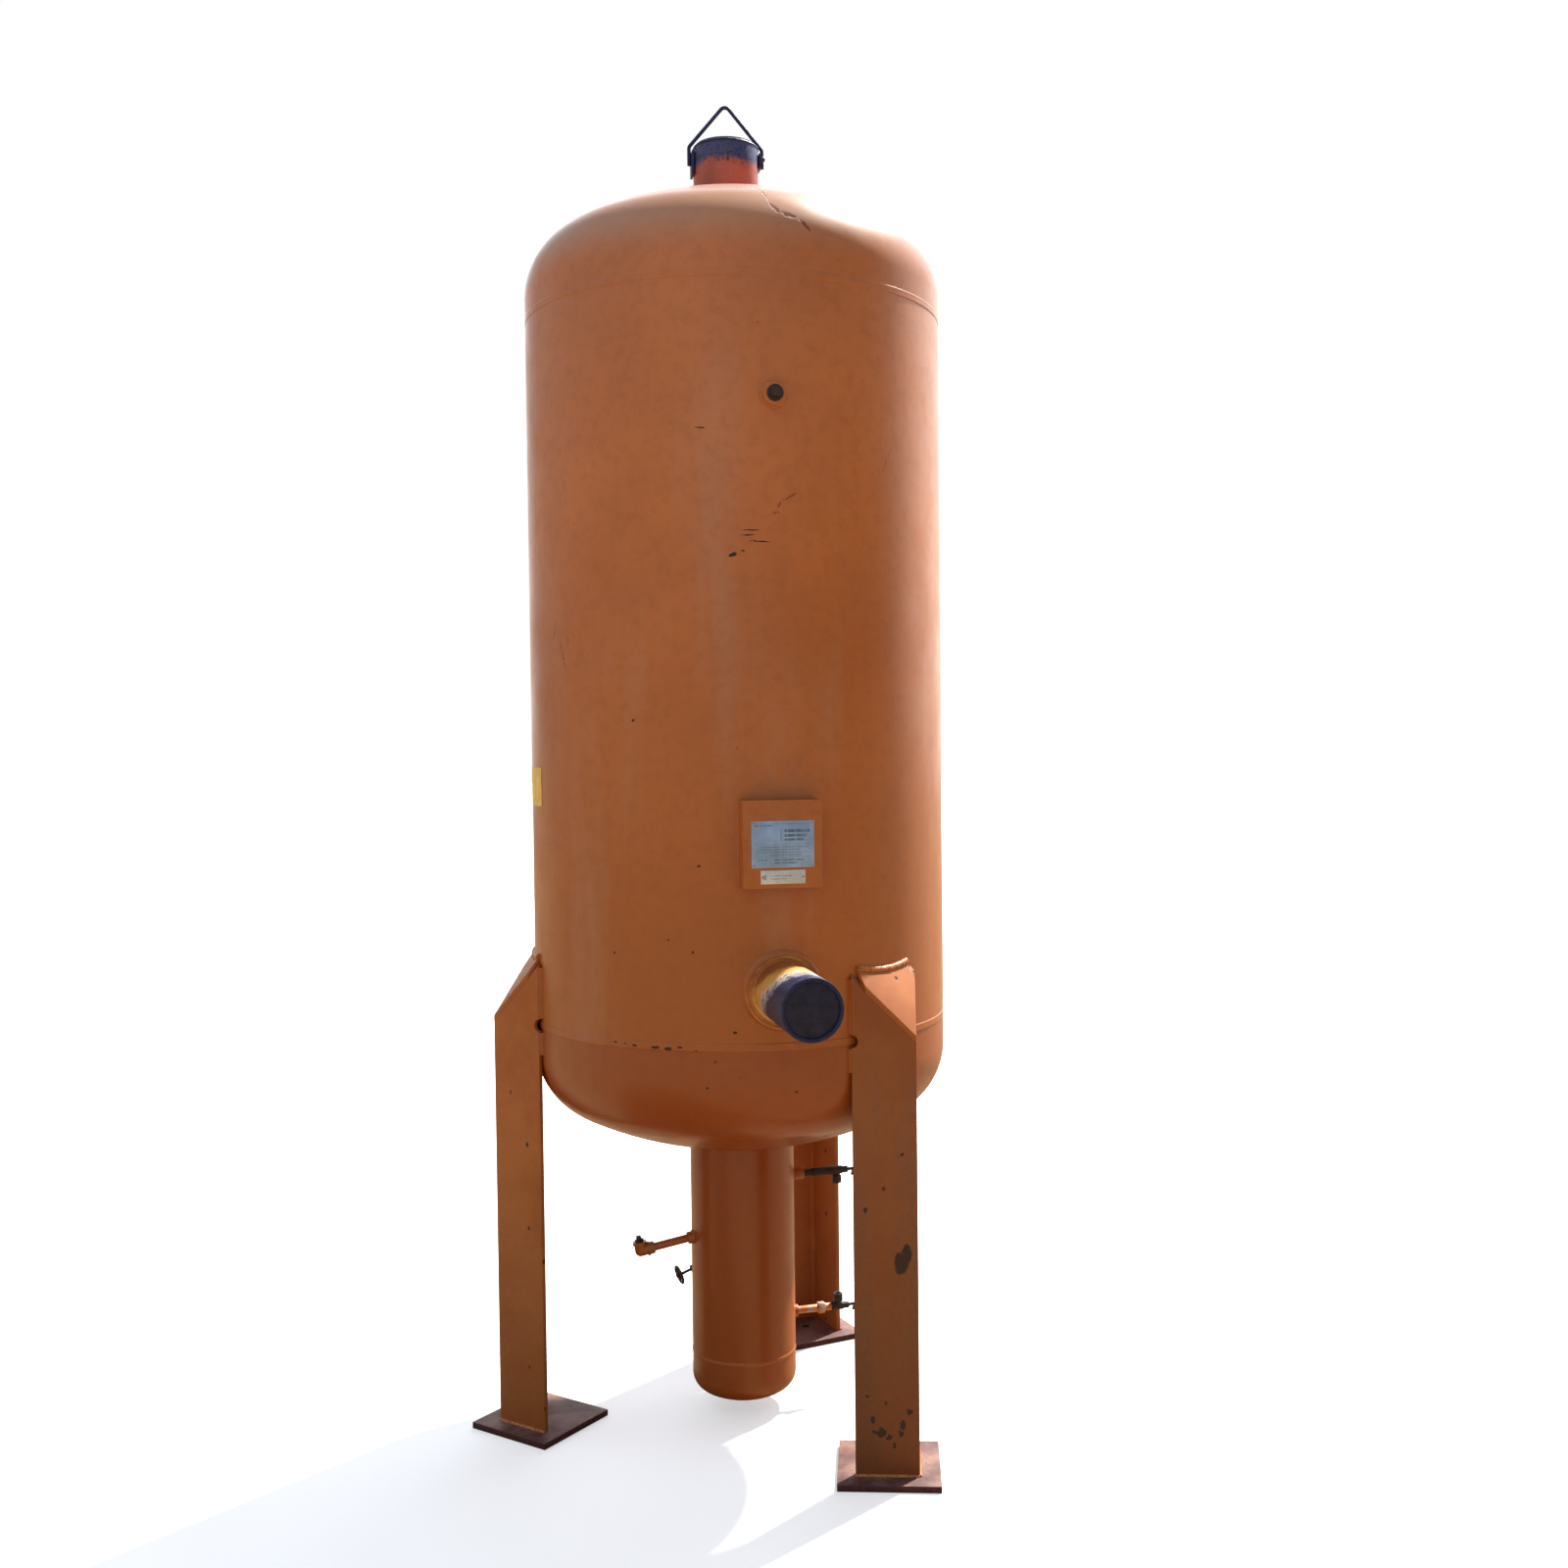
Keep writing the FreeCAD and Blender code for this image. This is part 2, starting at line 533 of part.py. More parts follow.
def build_gauge_valves():
    upper = frame_at(GAUGE_ANGLE, GAUGE_HEIGHTS["upper"])
    lower = frame_at(GAUGE_ANGLE, GAUGE_HEIGHTS["lower"])
    upper_coupling_end = SUMP_RADIUS + UPPER_COUPLING_OUT
    lower_coupling_end = SUMP_RADIUS + LOWER_COUPLING_OUT
    upper_body_start = SUMP_RADIUS + UPPER_BODY_OUT
    lower_body_start = SUMP_RADIUS + LOWER_BODY_OUT
    union_start = SUMP_RADIUS + UNION_OUT
    union_end = union_start + UNION_LENGTH

    coupling = moved(bar(SMALL_COUPLING_RADIUS, 0, upper_coupling_end), upper)
    add("upper_gauge_coupling", coupling.cut(sump_volume()))
    add("upper_gauge_nipple", bar(UPPER_NIPPLE_RADIUS, upper_coupling_end, upper_body_start),
        upper)
    coupling = moved(bar(SMALL_COUPLING_RADIUS, 0, lower_coupling_end), lower)
    add("lower_gauge_coupling", coupling.cut(sump_volume()))
    add("lower_gauge_nipple", bar(LOWER_NIPPLE_RADIUS, lower_coupling_end, union_start), lower)
    union = prism(6, UNION_FLATS, union_start, union_end)
    short_nipple = bar(LOWER_NIPPLE_RADIUS, union_end, lower_body_start)
    add("lower_gauge_union", union.fuse(short_nipple), lower)
    build_gauge_valve("upper", upper_body_start, -1)
    build_gauge_valve("lower", lower_body_start, 1)


# ---- sloping drain pipe
def build_drain_pipe():
    frame = frame_at(DRAIN_PIPE_ANGLE, DRAIN_PIPE_Z, DRAIN_PIPE_SLOPE)
    face = SUMP_RADIUS / math.cos(math.radians(DRAIN_PIPE_SLOPE))
    drop = face * math.sin(math.radians(DRAIN_PIPE_SLOPE))
    frame.Base = frame.Base + V(0, 0, drop)
    coupling_end = face + DRAIN_COUPLING_LENGTH
    coupling = moved(bar(SMALL_COUPLING_RADIUS, 0, coupling_end), frame)
    add("drain_pipe_coupling", coupling.cut(sump_volume()))
    corner = V(face + DRAIN_ELBOW_DISTANCE, 0, 0)
    union_end = corner.x - ELBOW_ARM
    union_start = union_end - DRAIN_UNION_LENGTH
    add("drain_pipe", bar(DRAIN_PIPE_RADIUS, coupling_end, union_start), frame)
    add("drain_pipe_union", bar(DRAIN_UNION_RADIUS, union_start, union_end), frame)
    elbow = bar(ELBOW_RADIUS, -ELBOW_ARM, 0, X_AXIS, corner)
    elbow = elbow.fuse([
        bar(ELBOW_BAND_RADIUS, -ELBOW_ARM, ELBOW_BAND_LENGTH - ELBOW_ARM, X_AXIS, corner),
        Part.makeSphere(ELBOW_RADIUS, corner),
        bar(ELBOW_RADIUS, 0, ELBOW_ARM, Z_AXIS, corner),
        bar(ELBOW_BAND_RADIUS, ELBOW_ARM - ELBOW_BAND_LENGTH, ELBOW_ARM, Z_AXIS, corner),
    ])
    add("drain_elbow", elbow.removeSplitter(), frame)
    hex_end = ELBOW_ARM + ELBOW_PLUG_HEIGHT
    plug = prism(6, ELBOW_PLUG_FLATS, ELBOW_ARM, hex_end, Z_AXIS, corner)
    square = prism(4, ELBOW_PLUG_SQUARE, hex_end, hex_end + ELBOW_PLUG_SQUARE_HEIGHT, Z_AXIS,
                   corner)
    add("drain_elbow_plug", plug.fuse(square), frame)


# ---- drain valve behind the sump
def build_drain_valve():
    flow = frame_at(DRAIN_VALVE_ANGLE, DRAIN_VALVE_Z)
    reach = SUMP_RADIUS + DRAIN_VALVE_OUT
    nipple = moved(bar(DRAIN_NIPPLE_RADIUS, 0, reach - VALVE_HALF_LENGTH), flow)
    add("drain_valve_nipple", nipple.cut(sump_volume()))

    # local frame at the valve's centre: X along the flow, then turned so +Z is the stem
    centre = flow.multiply(FreeCAD.Placement(V(reach, 0, 0), FreeCAD.Rotation()))
    roll = FreeCAD.Rotation(X_AXIS, -90 - DRAIN_STEM_SLOPE)
    frame = centre.multiply(FreeCAD.Placement(V(), roll))
    hex_start = VALVE_HALF_LENGTH - VALVE_HEX_LENGTH
    body = Part.makeSphere(VALVE_BALL_RADIUS)
    body = body.fuse([
        prism(6, VALVE_END_FLATS, hex_start, VALVE_HALF_LENGTH),
        prism(6, VALVE_END_FLATS, -VALVE_HALF_LENGTH, -hex_start),
        bar(VALVE_NECK_RADIUS, -hex_start, hex_start),
        bar(VALVE_BALL_RADIUS / 2, 0, BONNET_START, Z_AXIS),
    ])
    outlet = bar(VALVE_OUTLET_RADIUS, VALVE_HALF_LENGTH - VALVE_OUTLET_DEPTH,
                 VALVE_HALF_LENGTH + 1)
    flat = bar(VALVE_BALL_RADIUS, BONNET_START, VALVE_BALL_RADIUS + 1, Z_AXIS)
    add("drain_valve_body", body.cut([outlet, flat]), frame)

    bonnet = prism(6, BONNET_FLATS, BONNET_START, BONNET_SHOULDER, Z_AXIS)
    bonnet = bonnet.fuse(bar(BONNET_RADIUS, BONNET_SHOULDER, BONNET_END, Z_AXIS))
    nut_end = BONNET_END + PACKING_NUT_LENGTH
    bonnet = bonnet.fuse(prism(6, PACKING_NUT_FLATS, BONNET_END, nut_end, Z_AXIS))
    stem_start = nut_end - STEM_BORE_DEPTH
    stem_bore = bar(STEM_RADIUS + STEM_CLEARANCE, stem_start, nut_end + 1, Z_AXIS)
    add("drain_valve_bonnet", bonnet.cut(stem_bore), frame)

    hub_start = WHEEL_DISTANCE - WHEEL_HUB_LENGTH / 2
    hub_end = WHEEL_DISTANCE + WHEEL_HUB_LENGTH / 2
    add("drain_valve_stem", bar(STEM_RADIUS, stem_start + 1, hub_start, Z_AXIS), frame)
    add("drain_handwheel", handwheel(hub_start, hub_end), frame)


def handwheel(hub_start, hub_end):
    centre = V(0, 0, WHEEL_DISTANCE)
    ring = WHEEL_RADIUS - WHEEL_RIM_RADIUS
    pieces = [bar(WHEEL_HUB_RADIUS, hub_start, hub_end, Z_AXIS),
              prism(6, WHEEL_NUT_FLATS, hub_end, hub_end + WHEEL_NUT_HEIGHT, Z_AXIS)]
    for index in range(WHEEL_SPOKES):
        angle = 2 * math.pi * index / WHEEL_SPOKES
        way = V(math.cos(angle), math.sin(angle), 0)
        pieces.append(bar(SPOKE_RADIUS, 0, ring, way, centre))
    return Part.makeTorus(ring, WHEEL_RIM_RADIUS, centre, Z_AXIS).fuse(pieces)


def main():
    build_vessel()
    build_sump()
    build_top_nozzle()
    build_side_nozzle()
    build_coupling()
    build_nameplate()
    for side, angle in LEG_ANGLES.items():
        build_leg(side, angle)
    build_gauge_valves()
    build_drain_pipe()
    build_drain_valve()
    os.makedirs("parts", exist_ok=True)
    for name, shape in parts.items():
        solids = shape.Solids
        print(name, len(solids), shape.isValid(), round(shape.Volume / 1000, 1), "cm3")
        solid = solids[0] if len(solids) == 1 else Part.makeCompound(solids)
        solid.exportStep("parts/" + name + ".step")


main()
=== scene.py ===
"""Looks of a vertical pressure vessel that stands on three angle-section legs.

Metres, +Z up, the vessel's axis on X = Y = 0, the floor at Z = 0.
Plan angles are in degrees from +X towards +Y.
"""
import math

import bmesh
import bpy
from mathutils import Matrix, Vector, noise


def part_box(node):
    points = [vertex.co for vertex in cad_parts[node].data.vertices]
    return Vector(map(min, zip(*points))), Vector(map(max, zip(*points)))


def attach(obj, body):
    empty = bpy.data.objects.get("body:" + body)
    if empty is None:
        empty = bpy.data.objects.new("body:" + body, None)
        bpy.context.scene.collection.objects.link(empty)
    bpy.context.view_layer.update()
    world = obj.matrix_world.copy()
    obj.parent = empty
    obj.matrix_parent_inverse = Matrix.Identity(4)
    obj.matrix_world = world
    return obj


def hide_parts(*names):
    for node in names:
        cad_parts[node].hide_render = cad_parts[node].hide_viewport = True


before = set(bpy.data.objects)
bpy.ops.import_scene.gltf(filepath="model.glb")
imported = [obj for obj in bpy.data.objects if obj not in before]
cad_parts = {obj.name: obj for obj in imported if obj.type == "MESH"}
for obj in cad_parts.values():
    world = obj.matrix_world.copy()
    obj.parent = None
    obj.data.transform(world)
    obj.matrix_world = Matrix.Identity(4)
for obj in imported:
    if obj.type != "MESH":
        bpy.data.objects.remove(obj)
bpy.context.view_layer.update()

bl_info = {
    "name": "Vertical pressure vessel finish",
    "version": (1, 0, 0),
    "blender": (4, 5, 0),
    "location": "3D View > Sidebar > Vessel",
    "description": "Welds, worn enamel, scorched nozzles and fittings of a pressure vessel",
    "category": "Object",
}

MM = 0.001


def middle_z(node):
    return sum(corner.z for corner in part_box(node)) / 2


# ---- places taken from the frame
SHELL_LOW, SHELL_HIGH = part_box("shell")
SHELL_RADIUS = SHELL_HIGH.x
SHELL_WALL = 9.5 * MM
BOTTOM_SEAM, TOP_SEAM = SHELL_LOW.z, SHELL_HIGH.z
SUMP_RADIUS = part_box("sump_pipe")[1].x
SUMP_WALL = 9.3 * MM
SUMP_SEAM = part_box("sump_cap")[1].z
SUMP_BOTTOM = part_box("sump_cap")[0].z
NOZZLE_X = (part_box("top_nozzle")[0].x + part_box("top_nozzle")[1].x) / 2
NOZZLE_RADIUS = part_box("top_nozzle")[1].x - NOZZLE_X
TOP_PIPE_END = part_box("top_nozzle")[1].z
COUPLING_Z = middle_z("upper_coupling")
BRACKET_Z = middle_z("nameplate_bracket")
SIDE_NOZZLE_Z = middle_z("side_nozzle")
PLATE_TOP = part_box("base_plate_left")[1].z

# ---- the same vessel's plan angles and reaches
HEAD_CROWN_RATIO, HEAD_KNUCKLE_RATIO = 0.9, 0.17
TOP_FLANGE, BOTTOM_FLANGE = 58 * MM, 78 * MM
FRONT_LINE_ANGLE = 280.0
SIDE_NOZZLE_ANGLE, SIDE_NOZZLE_RADIUS = 280.9, 70.65 * MM
SIDE_NOZZLE_END = SHELL_RADIUS + 286.6 * MM
SIDE_COVER_RADIUS = 64.1 * MM
COLLAR_RADIUS, COLLAR_THICKNESS = 90 * MM, 8 * MM
COUPLING_RADIUS = 27.5 * MM
BRACKET_WIDTH, BRACKET_HEIGHT = 184 * MM, 202 * MM
BRACKET_FACE = SHELL_RADIUS + 50 * MM
LEG_ANGLES = {"left": 190.0, "right": 310.0, "back": 70.0}
LEG_HEEL_RADIUS = 640.92 * MM
LEG_FLANGE = 152.4 * MM
LEG_HEEL_RISE, LEG_TOE_RISE = -3 * MM, 148 * MM
LEG_CAP_THICKNESS, LEG_CAP_TRIM = 9.5 * MM, 24 * MM
LEG_NOTCH_RADIUS = 15 * MM
GAUGE_ANGLE, DRAIN_PIPE_ANGLE, DRAIN_VALVE_ANGLE = 15.0, 195.0, 113.0
GAUGE_HEIGHTS = {"upper": 600 * MM, "lower": 231 * MM}
DRAIN_PIPE_Z = 458 * MM
DRAIN_VALVE_Z = 330 * MM
SMALL_COUPLING_RADIUS, DRAIN_NIPPLE_RADIUS = 16 * MM, 13.3 * MM
BACK_SEAM_ANGLE = 96.0
BRANCH_STEPS = 64


def linear(code):
    """Linear colour of a six-digit sRGB code."""
    parts = [int(code[i:i + 2], 16) / 255 for i in (0, 2, 4)]
    return tuple(c / 12.92 if c <= 0.04045 else ((c + 0.055) / 1.055) ** 2.4 for c in parts)


def length_property(name, description, millimetres):
    return bpy.props.FloatProperty(name=name, description=description, subtype="DISTANCE",
                                   unit="LENGTH", default=millimetres * MM)


def colour_property(name, description, code):
    return bpy.props.FloatVectorProperty(name=name, description=description, size=3,
                                         subtype="COLOR", min=0, max=1, default=linear(code))


class VesselWelds(bpy.types.PropertyGroup):
    """Sizes of the weld beads."""
    seam_width: length_property("Seam width", "Width of the shell's seam beads", 19)
    seam_crown: length_property("Seam crown", "Rise of the seam beads over the shell", 2.9)
    fillet: length_property("Fillet size", "Half width of the fillet beads on the nozzles", 7)
    leg_fillet: length_property("Leg fillet", "Half width of the beads on the legs", 5.5)
    small_fillet: length_property("Small fillet", "Half width of the beads on fittings", 3.2)
    ripple: length_property("Ripple length", "Distance between two ripples", 6)
    ripple_depth: length_property("Ripple depth", "Height of one ripple", 0.5)


class VesselColours(bpy.types.PropertyGroup):
    """Colours of the finishes."""
    enamel: colour_property("Enamel", "Orange enamel of the tank", "d07a36")
    # The deep tone is also the painted shade that the enamel takes towards the bottom of the
    # vessel.
    enamel_deep: colour_property("Deep enamel", "Enamel where it is thick or clean", "ab5d1f")
    enamel_dust: colour_property("Dusty enamel", "Enamel under dust", "b98f74")
    # Darker copy of the tank enamel for the bottom head and sump: painted shade of the vessel's
    # underside.
    enamel_low_shaded: colour_property("Low enamel", "Enamel of the sump and the bottom head", "b0581c")
    leg_enamel: colour_property("Leg enamel", "Enamel of the legs", "bd6f31")
    leg_worn: colour_property("Worn leg enamel", "Rubbed and faded enamel", "8c6a55")
    chip: colour_property("Chip", "Dark metal in chips and scratches", "2c1512")
    rust: colour_property("Rust", "Rust in specks and scuffs", "7a3320")
    primer: colour_property("Primer", "Maroon primer of the base plates", "52292a")
    dust: colour_property("Dust", "Dust and overspray on flat tops", "987264")
    nozzle_red: colour_property("Nozzle paint", "Reddish paint of the top nozzle", "bc5f4e")
    scorched: colour_property("Scorched steel", "Blue-black steel that was torch cut", "2b3260")
    ash: colour_property("Ash", "Pale ash at the edge of the burn", "ccced4")
    burnt_gold: colour_property("Burnt gold", "Enamel browned beside the torch cut", "e0aa55")
    iron: colour_property("Valve iron", "Dark cast iron of valves and plugs", "3b3333")
    zinc: colour_property("Zinc", "Zinc coat of the small pipe", "b9a79a")
    plate: colour_property("Nameplate", "Blue-grey nameplate", "9dc1ec")
    tag: colour_property("Tag", "Pale data tag", "e0e8ec")
    label: colour_property("Label", "Plain yellow label", "e6bd3c")


class VesselStage(bpy.types.PropertyGroup):
    """Camera and light."""
    eye: bpy.props.FloatVectorProperty(name="Eye", description="Place of the camera", size=3,
                                       subtype="TRANSLATION", unit="LENGTH",
                                       default=(0.0, -4.2681, 1.7733))
    turn: bpy.props.FloatProperty(name="Turn", description="Camera turned to the right",
                                  subtype="ANGLE", default=math.radians(1.637))
    dip: bpy.props.FloatProperty(name="Dip", description="Camera tipped down",
                                 subtype="ANGLE", default=math.radians(1.736))
    lean: bpy.props.FloatProperty(name="Lean", description="Camera rolled to the right",
                                  subtype="ANGLE", default=math.radians(0.6355))
    lens: bpy.props.FloatProperty(name="Lens", description="Focal length", subtype="DISTANCE",
                                  unit="CAMERA", default=37.27)
    sun_angle: bpy.props.FloatProperty(name="Sun plan angle", description="Where the sun stands",
                                       subtype="ANGLE", default=math.radians(46))
    sun_height: bpy.props.FloatProperty(name="Sun height", description="Sun over the horizon",
                                        subtype="ANGLE", default=math.radians(52))
    sun_power: bpy.props.FloatProperty(name="Sun power", description="Strength of the sun lamp",
                                       default=9.0, min=0)
    sky_left: bpy.props.FloatProperty(name="Left sky", description="Sky at the left in front",
                                      default=0.6, min=0)
    sky_right: bpy.props.FloatProperty(name="Right sky", description="Sky at the right in front",
                                       default=0.18, min=0)
    sky_back: bpy.props.FloatProperty(name="Back sky", description="Sky behind the vessel",
                                      default=1.8, min=0)


def welds():
    return bpy.context.scene.vessel_welds


def colours():
    return bpy.context.scene.vessel_colours


# ---- meshes
def frame_at(angle, z=0.0):
    """Local frame: +X points outwards at a plan angle."""
    return Matrix.Translation((0, 0, z)) @ Matrix.Rotation(math.radians(angle), 4, "Z")


def on_cylinder(radius, angle, z):
    a = math.radians(angle)
    return Vector((radius * math.cos(a), radius * math.sin(a), z))


def new_object(name, mesh):
    piece = bpy.data.objects.new(name, mesh)
    bpy.context.scene.collection.objects.link(piece)
    return piece


def mesh_piece(name, vertices, faces, smooth=True):
    """A piece from points and faces, its normals turned outwards."""
    mesh = bpy.data.meshes.new(name)
    mesh.from_pydata([tuple(v) for v in vertices], [], faces)
    shape = bmesh.new()
    shape.from_mesh(mesh)
    bmesh.ops.remove_doubles(shape, verts=shape.verts, dist=1e-7)
    bmesh.ops.recalc_face_normals(shape, faces=shape.faces)
    shape.to_mesh(mesh)
    shape.free()
    mesh.polygons.foreach_set("use_smooth", [smooth] * len(mesh.polygons))
    return new_object(name, mesh)


def crisp(piece, degrees=35):
    """Smooth shading, but sharp over edges that turn by more than this."""
    piece.data.polygons.foreach_set("use_smooth", [True] * len(piece.data.polygons))
    piece.data.set_sharp_from_angle(angle=math.radians(degrees))


def finished(piece, body, materials, nodes=()):
    """Gives a piece its materials, its body and the CAD nodes it stands for."""
    piece.data.materials.clear()
    for material in materials:
        piece.data.materials.append(material)
    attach(piece, body)
    if nodes:
        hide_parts(*nodes)
    return piece


def lathe(name, outline, segments, wave=None):
    """Turns a closed outline of (radius, height) pairs round the Z axis."""
    vertices, rings = [], []
    for radius, height in outline:
        ring = []
        for step in range(segments if radius > 1e-6 else 1):
            angle = 2 * math.pi * step / segments
            point = Vector((radius * math.cos(angle), radius * math.sin(angle), height))
            ring.append(len(vertices))
            vertices.append(wave(point) if wave else point)
        rings.append(ring)
    faces = []
    for low, high in zip(rings, rings[1:] + rings[:1]):
        for step in range(segments):
            after = (step + 1) % segments
            corners = [low[step % len(low)], low[after % len(low)],
                       high[after % len(high)], high[step % len(high)]]
            corners = list(dict.fromkeys(corners))
            if len(corners) > 2:
                faces.append(corners)
    return mesh_piece(name, vertices, faces)


def dome_outline(radius, flange, steps, inset=0.0):
    """(radius, rise) pairs of a 2:1 head from its seam to its pole."""
    crown, knuckle = 2 * radius * HEAD_CROWN_RATIO, 2 * radius * HEAD_KNUCKLE_RATIO
    join = math.asin((radius - knuckle) / (crown - knuckle))
    drop = (crown - knuckle) * math.cos(join)
    points = [(radius - inset, 0.0), (radius - inset, flange * 0.12),
              (radius - inset, flange * 0.3), (radius - inset, flange * 0.6)]
    for step in range(steps + 1):
        lift = (math.pi / 2 - join) * step / steps
        points.append((radius - knuckle + (knuckle - inset) * math.cos(lift),
                       flange + (knuckle - inset) * math.sin(lift)))
    for step in range(1, steps + 1):
        lean = join * (1 - step / steps)
        points.append(((crown - inset) * math.sin(lean),
                       flange - drop + (crown - inset) * math.cos(lean)))
    return points


def dome_rise(radius, flange, at):
    """Rise of a head's outer face over its seam at a distance from its axis."""
    crown, knuckle = 2 * radius * HEAD_CROWN_RATIO, 2 * radius * HEAD_KNUCKLE_RATIO
    drop = math.sqrt((crown - knuckle) ** 2 - (radius - knuckle) ** 2)
    return flange - drop + math.sqrt(crown ** 2 - at ** 2)


def rolled_wave(point):
    """Shallow flats of a rolled and pressed plate, and its pull at the seams."""
    flat = Vector((point.x, point.y, 0))
    if flat.length < 0.05:
        return point
    broad = noise.noise(Vector((point.x * 3.1, point.y * 3.1, point.z * 0.9))) * 0.7
    fine = noise.noise(Vector((point.x * 8, point.y * 8, point.z * 3 + 5))) * 0.25
    pull = sum(math.exp(-((point.z - seam) / 0.03) ** 2) for seam in (BOTTOM_SEAM, TOP_SEAM))
    fade = min(1.0, flat.length / SHELL_RADIUS)
    return point + flat.normalized() * (broad + fine - 0.9 * pull) * MM * fade


def refined(node, bevel, segments=2, rounded=()):
    """A merged copy of a CAD node with its edges rounded; the roundings use material 1.
    rounded holds (test, radius) pairs for edges that get a radius of their own."""
    mesh = bpy.data.meshes.new(node + "_finished")
    shape = bmesh.new()
    shape.from_mesh(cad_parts[node].data)
    bmesh.ops.remove_doubles(shape, verts=shape.verts, dist=2e-6)
    bmesh.ops.dissolve_limit(shape, angle_limit=math.radians(0.4), verts=shape.verts,
                             edges=shape.edges)
    for test, radius in rounded:
        edges = [e for e in shape.edges if test(e)]
        if edges:
            bmesh.ops.bevel(shape, geom=edges, offset=radius, segments=5, profile=0.5,
                            affect="EDGES", clamp_overlap=False)
    edges = [e for e in shape.edges
             if len(e.link_faces) == 2 and e.calc_face_angle(0) > math.radians(38)]
    bmesh.ops.bevel(shape, geom=edges, offset=bevel, segments=segments, profile=0.6,
                    affect="EDGES", clamp_overlap=False, material=1)
    bmesh.ops.triangulate(shape, faces=[f for f in shape.faces if len(f.verts) > 4])
    shape.to_mesh(mesh)
    shape.free()
    piece = new_object(node + "_finished", mesh)
    crisp(piece)
    return piece


def sheet_on_cylinder(name, radius, thickness, angle, z, width, height):
    """A thin plate rolled to the shell."""
    columns, half = 24, math.degrees(width / radius / 2)
    vertices, faces = [], []
    for column in range(columns + 1):
        turn = angle - half + 2 * half * column / columns
        for reach in (radius, radius + thickness):
            for level in (z - height / 2, z + height / 2):
                vertices.append(on_cylinder(reach, turn, level))
    for column in range(columns):
        a, b = 4 * column, 4 * column + 4
        faces += [(a, a + 1, b + 1, b), (a + 2, b + 2, b + 3, a + 3),
                  (a, b, b + 2, a + 2), (a + 1, a + 3, b + 3, b + 1)]
    end = 4 * columns
    faces += [(0, 2, 3, 1), (end, end + 1, end + 3, end + 2)]
    piece = mesh_piece(name, vertices, faces)
    crisp(piece)
    return piece


def middle_of(node):
    low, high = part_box(node)
    return (low + high) / 2


# ---- materials
class Nodes:
    """Writes nodes into a tree; family is the start of their type names."""
    family = ""

    def node(self, kind, links=(), **settings):
        """A node with its settings; links are (input, value or socket) pairs."""
        made = self.nodes.new(self.family + kind)
        for key, value in settings.items():
            setattr(made, key, value)
        for key, value in links:
            self.put(made.inputs[key], value)
        return made

    def put(self, socket, value):
        """Links a socket to another one, or sets its value."""
        if isinstance(value, bpy.types.NodeSocket):
            self.links.new(value, socket)
        elif socket.type == "RGBA":
            socket.default_value = (*value[:3], 1.0)
        else:
            socket.default_value = value


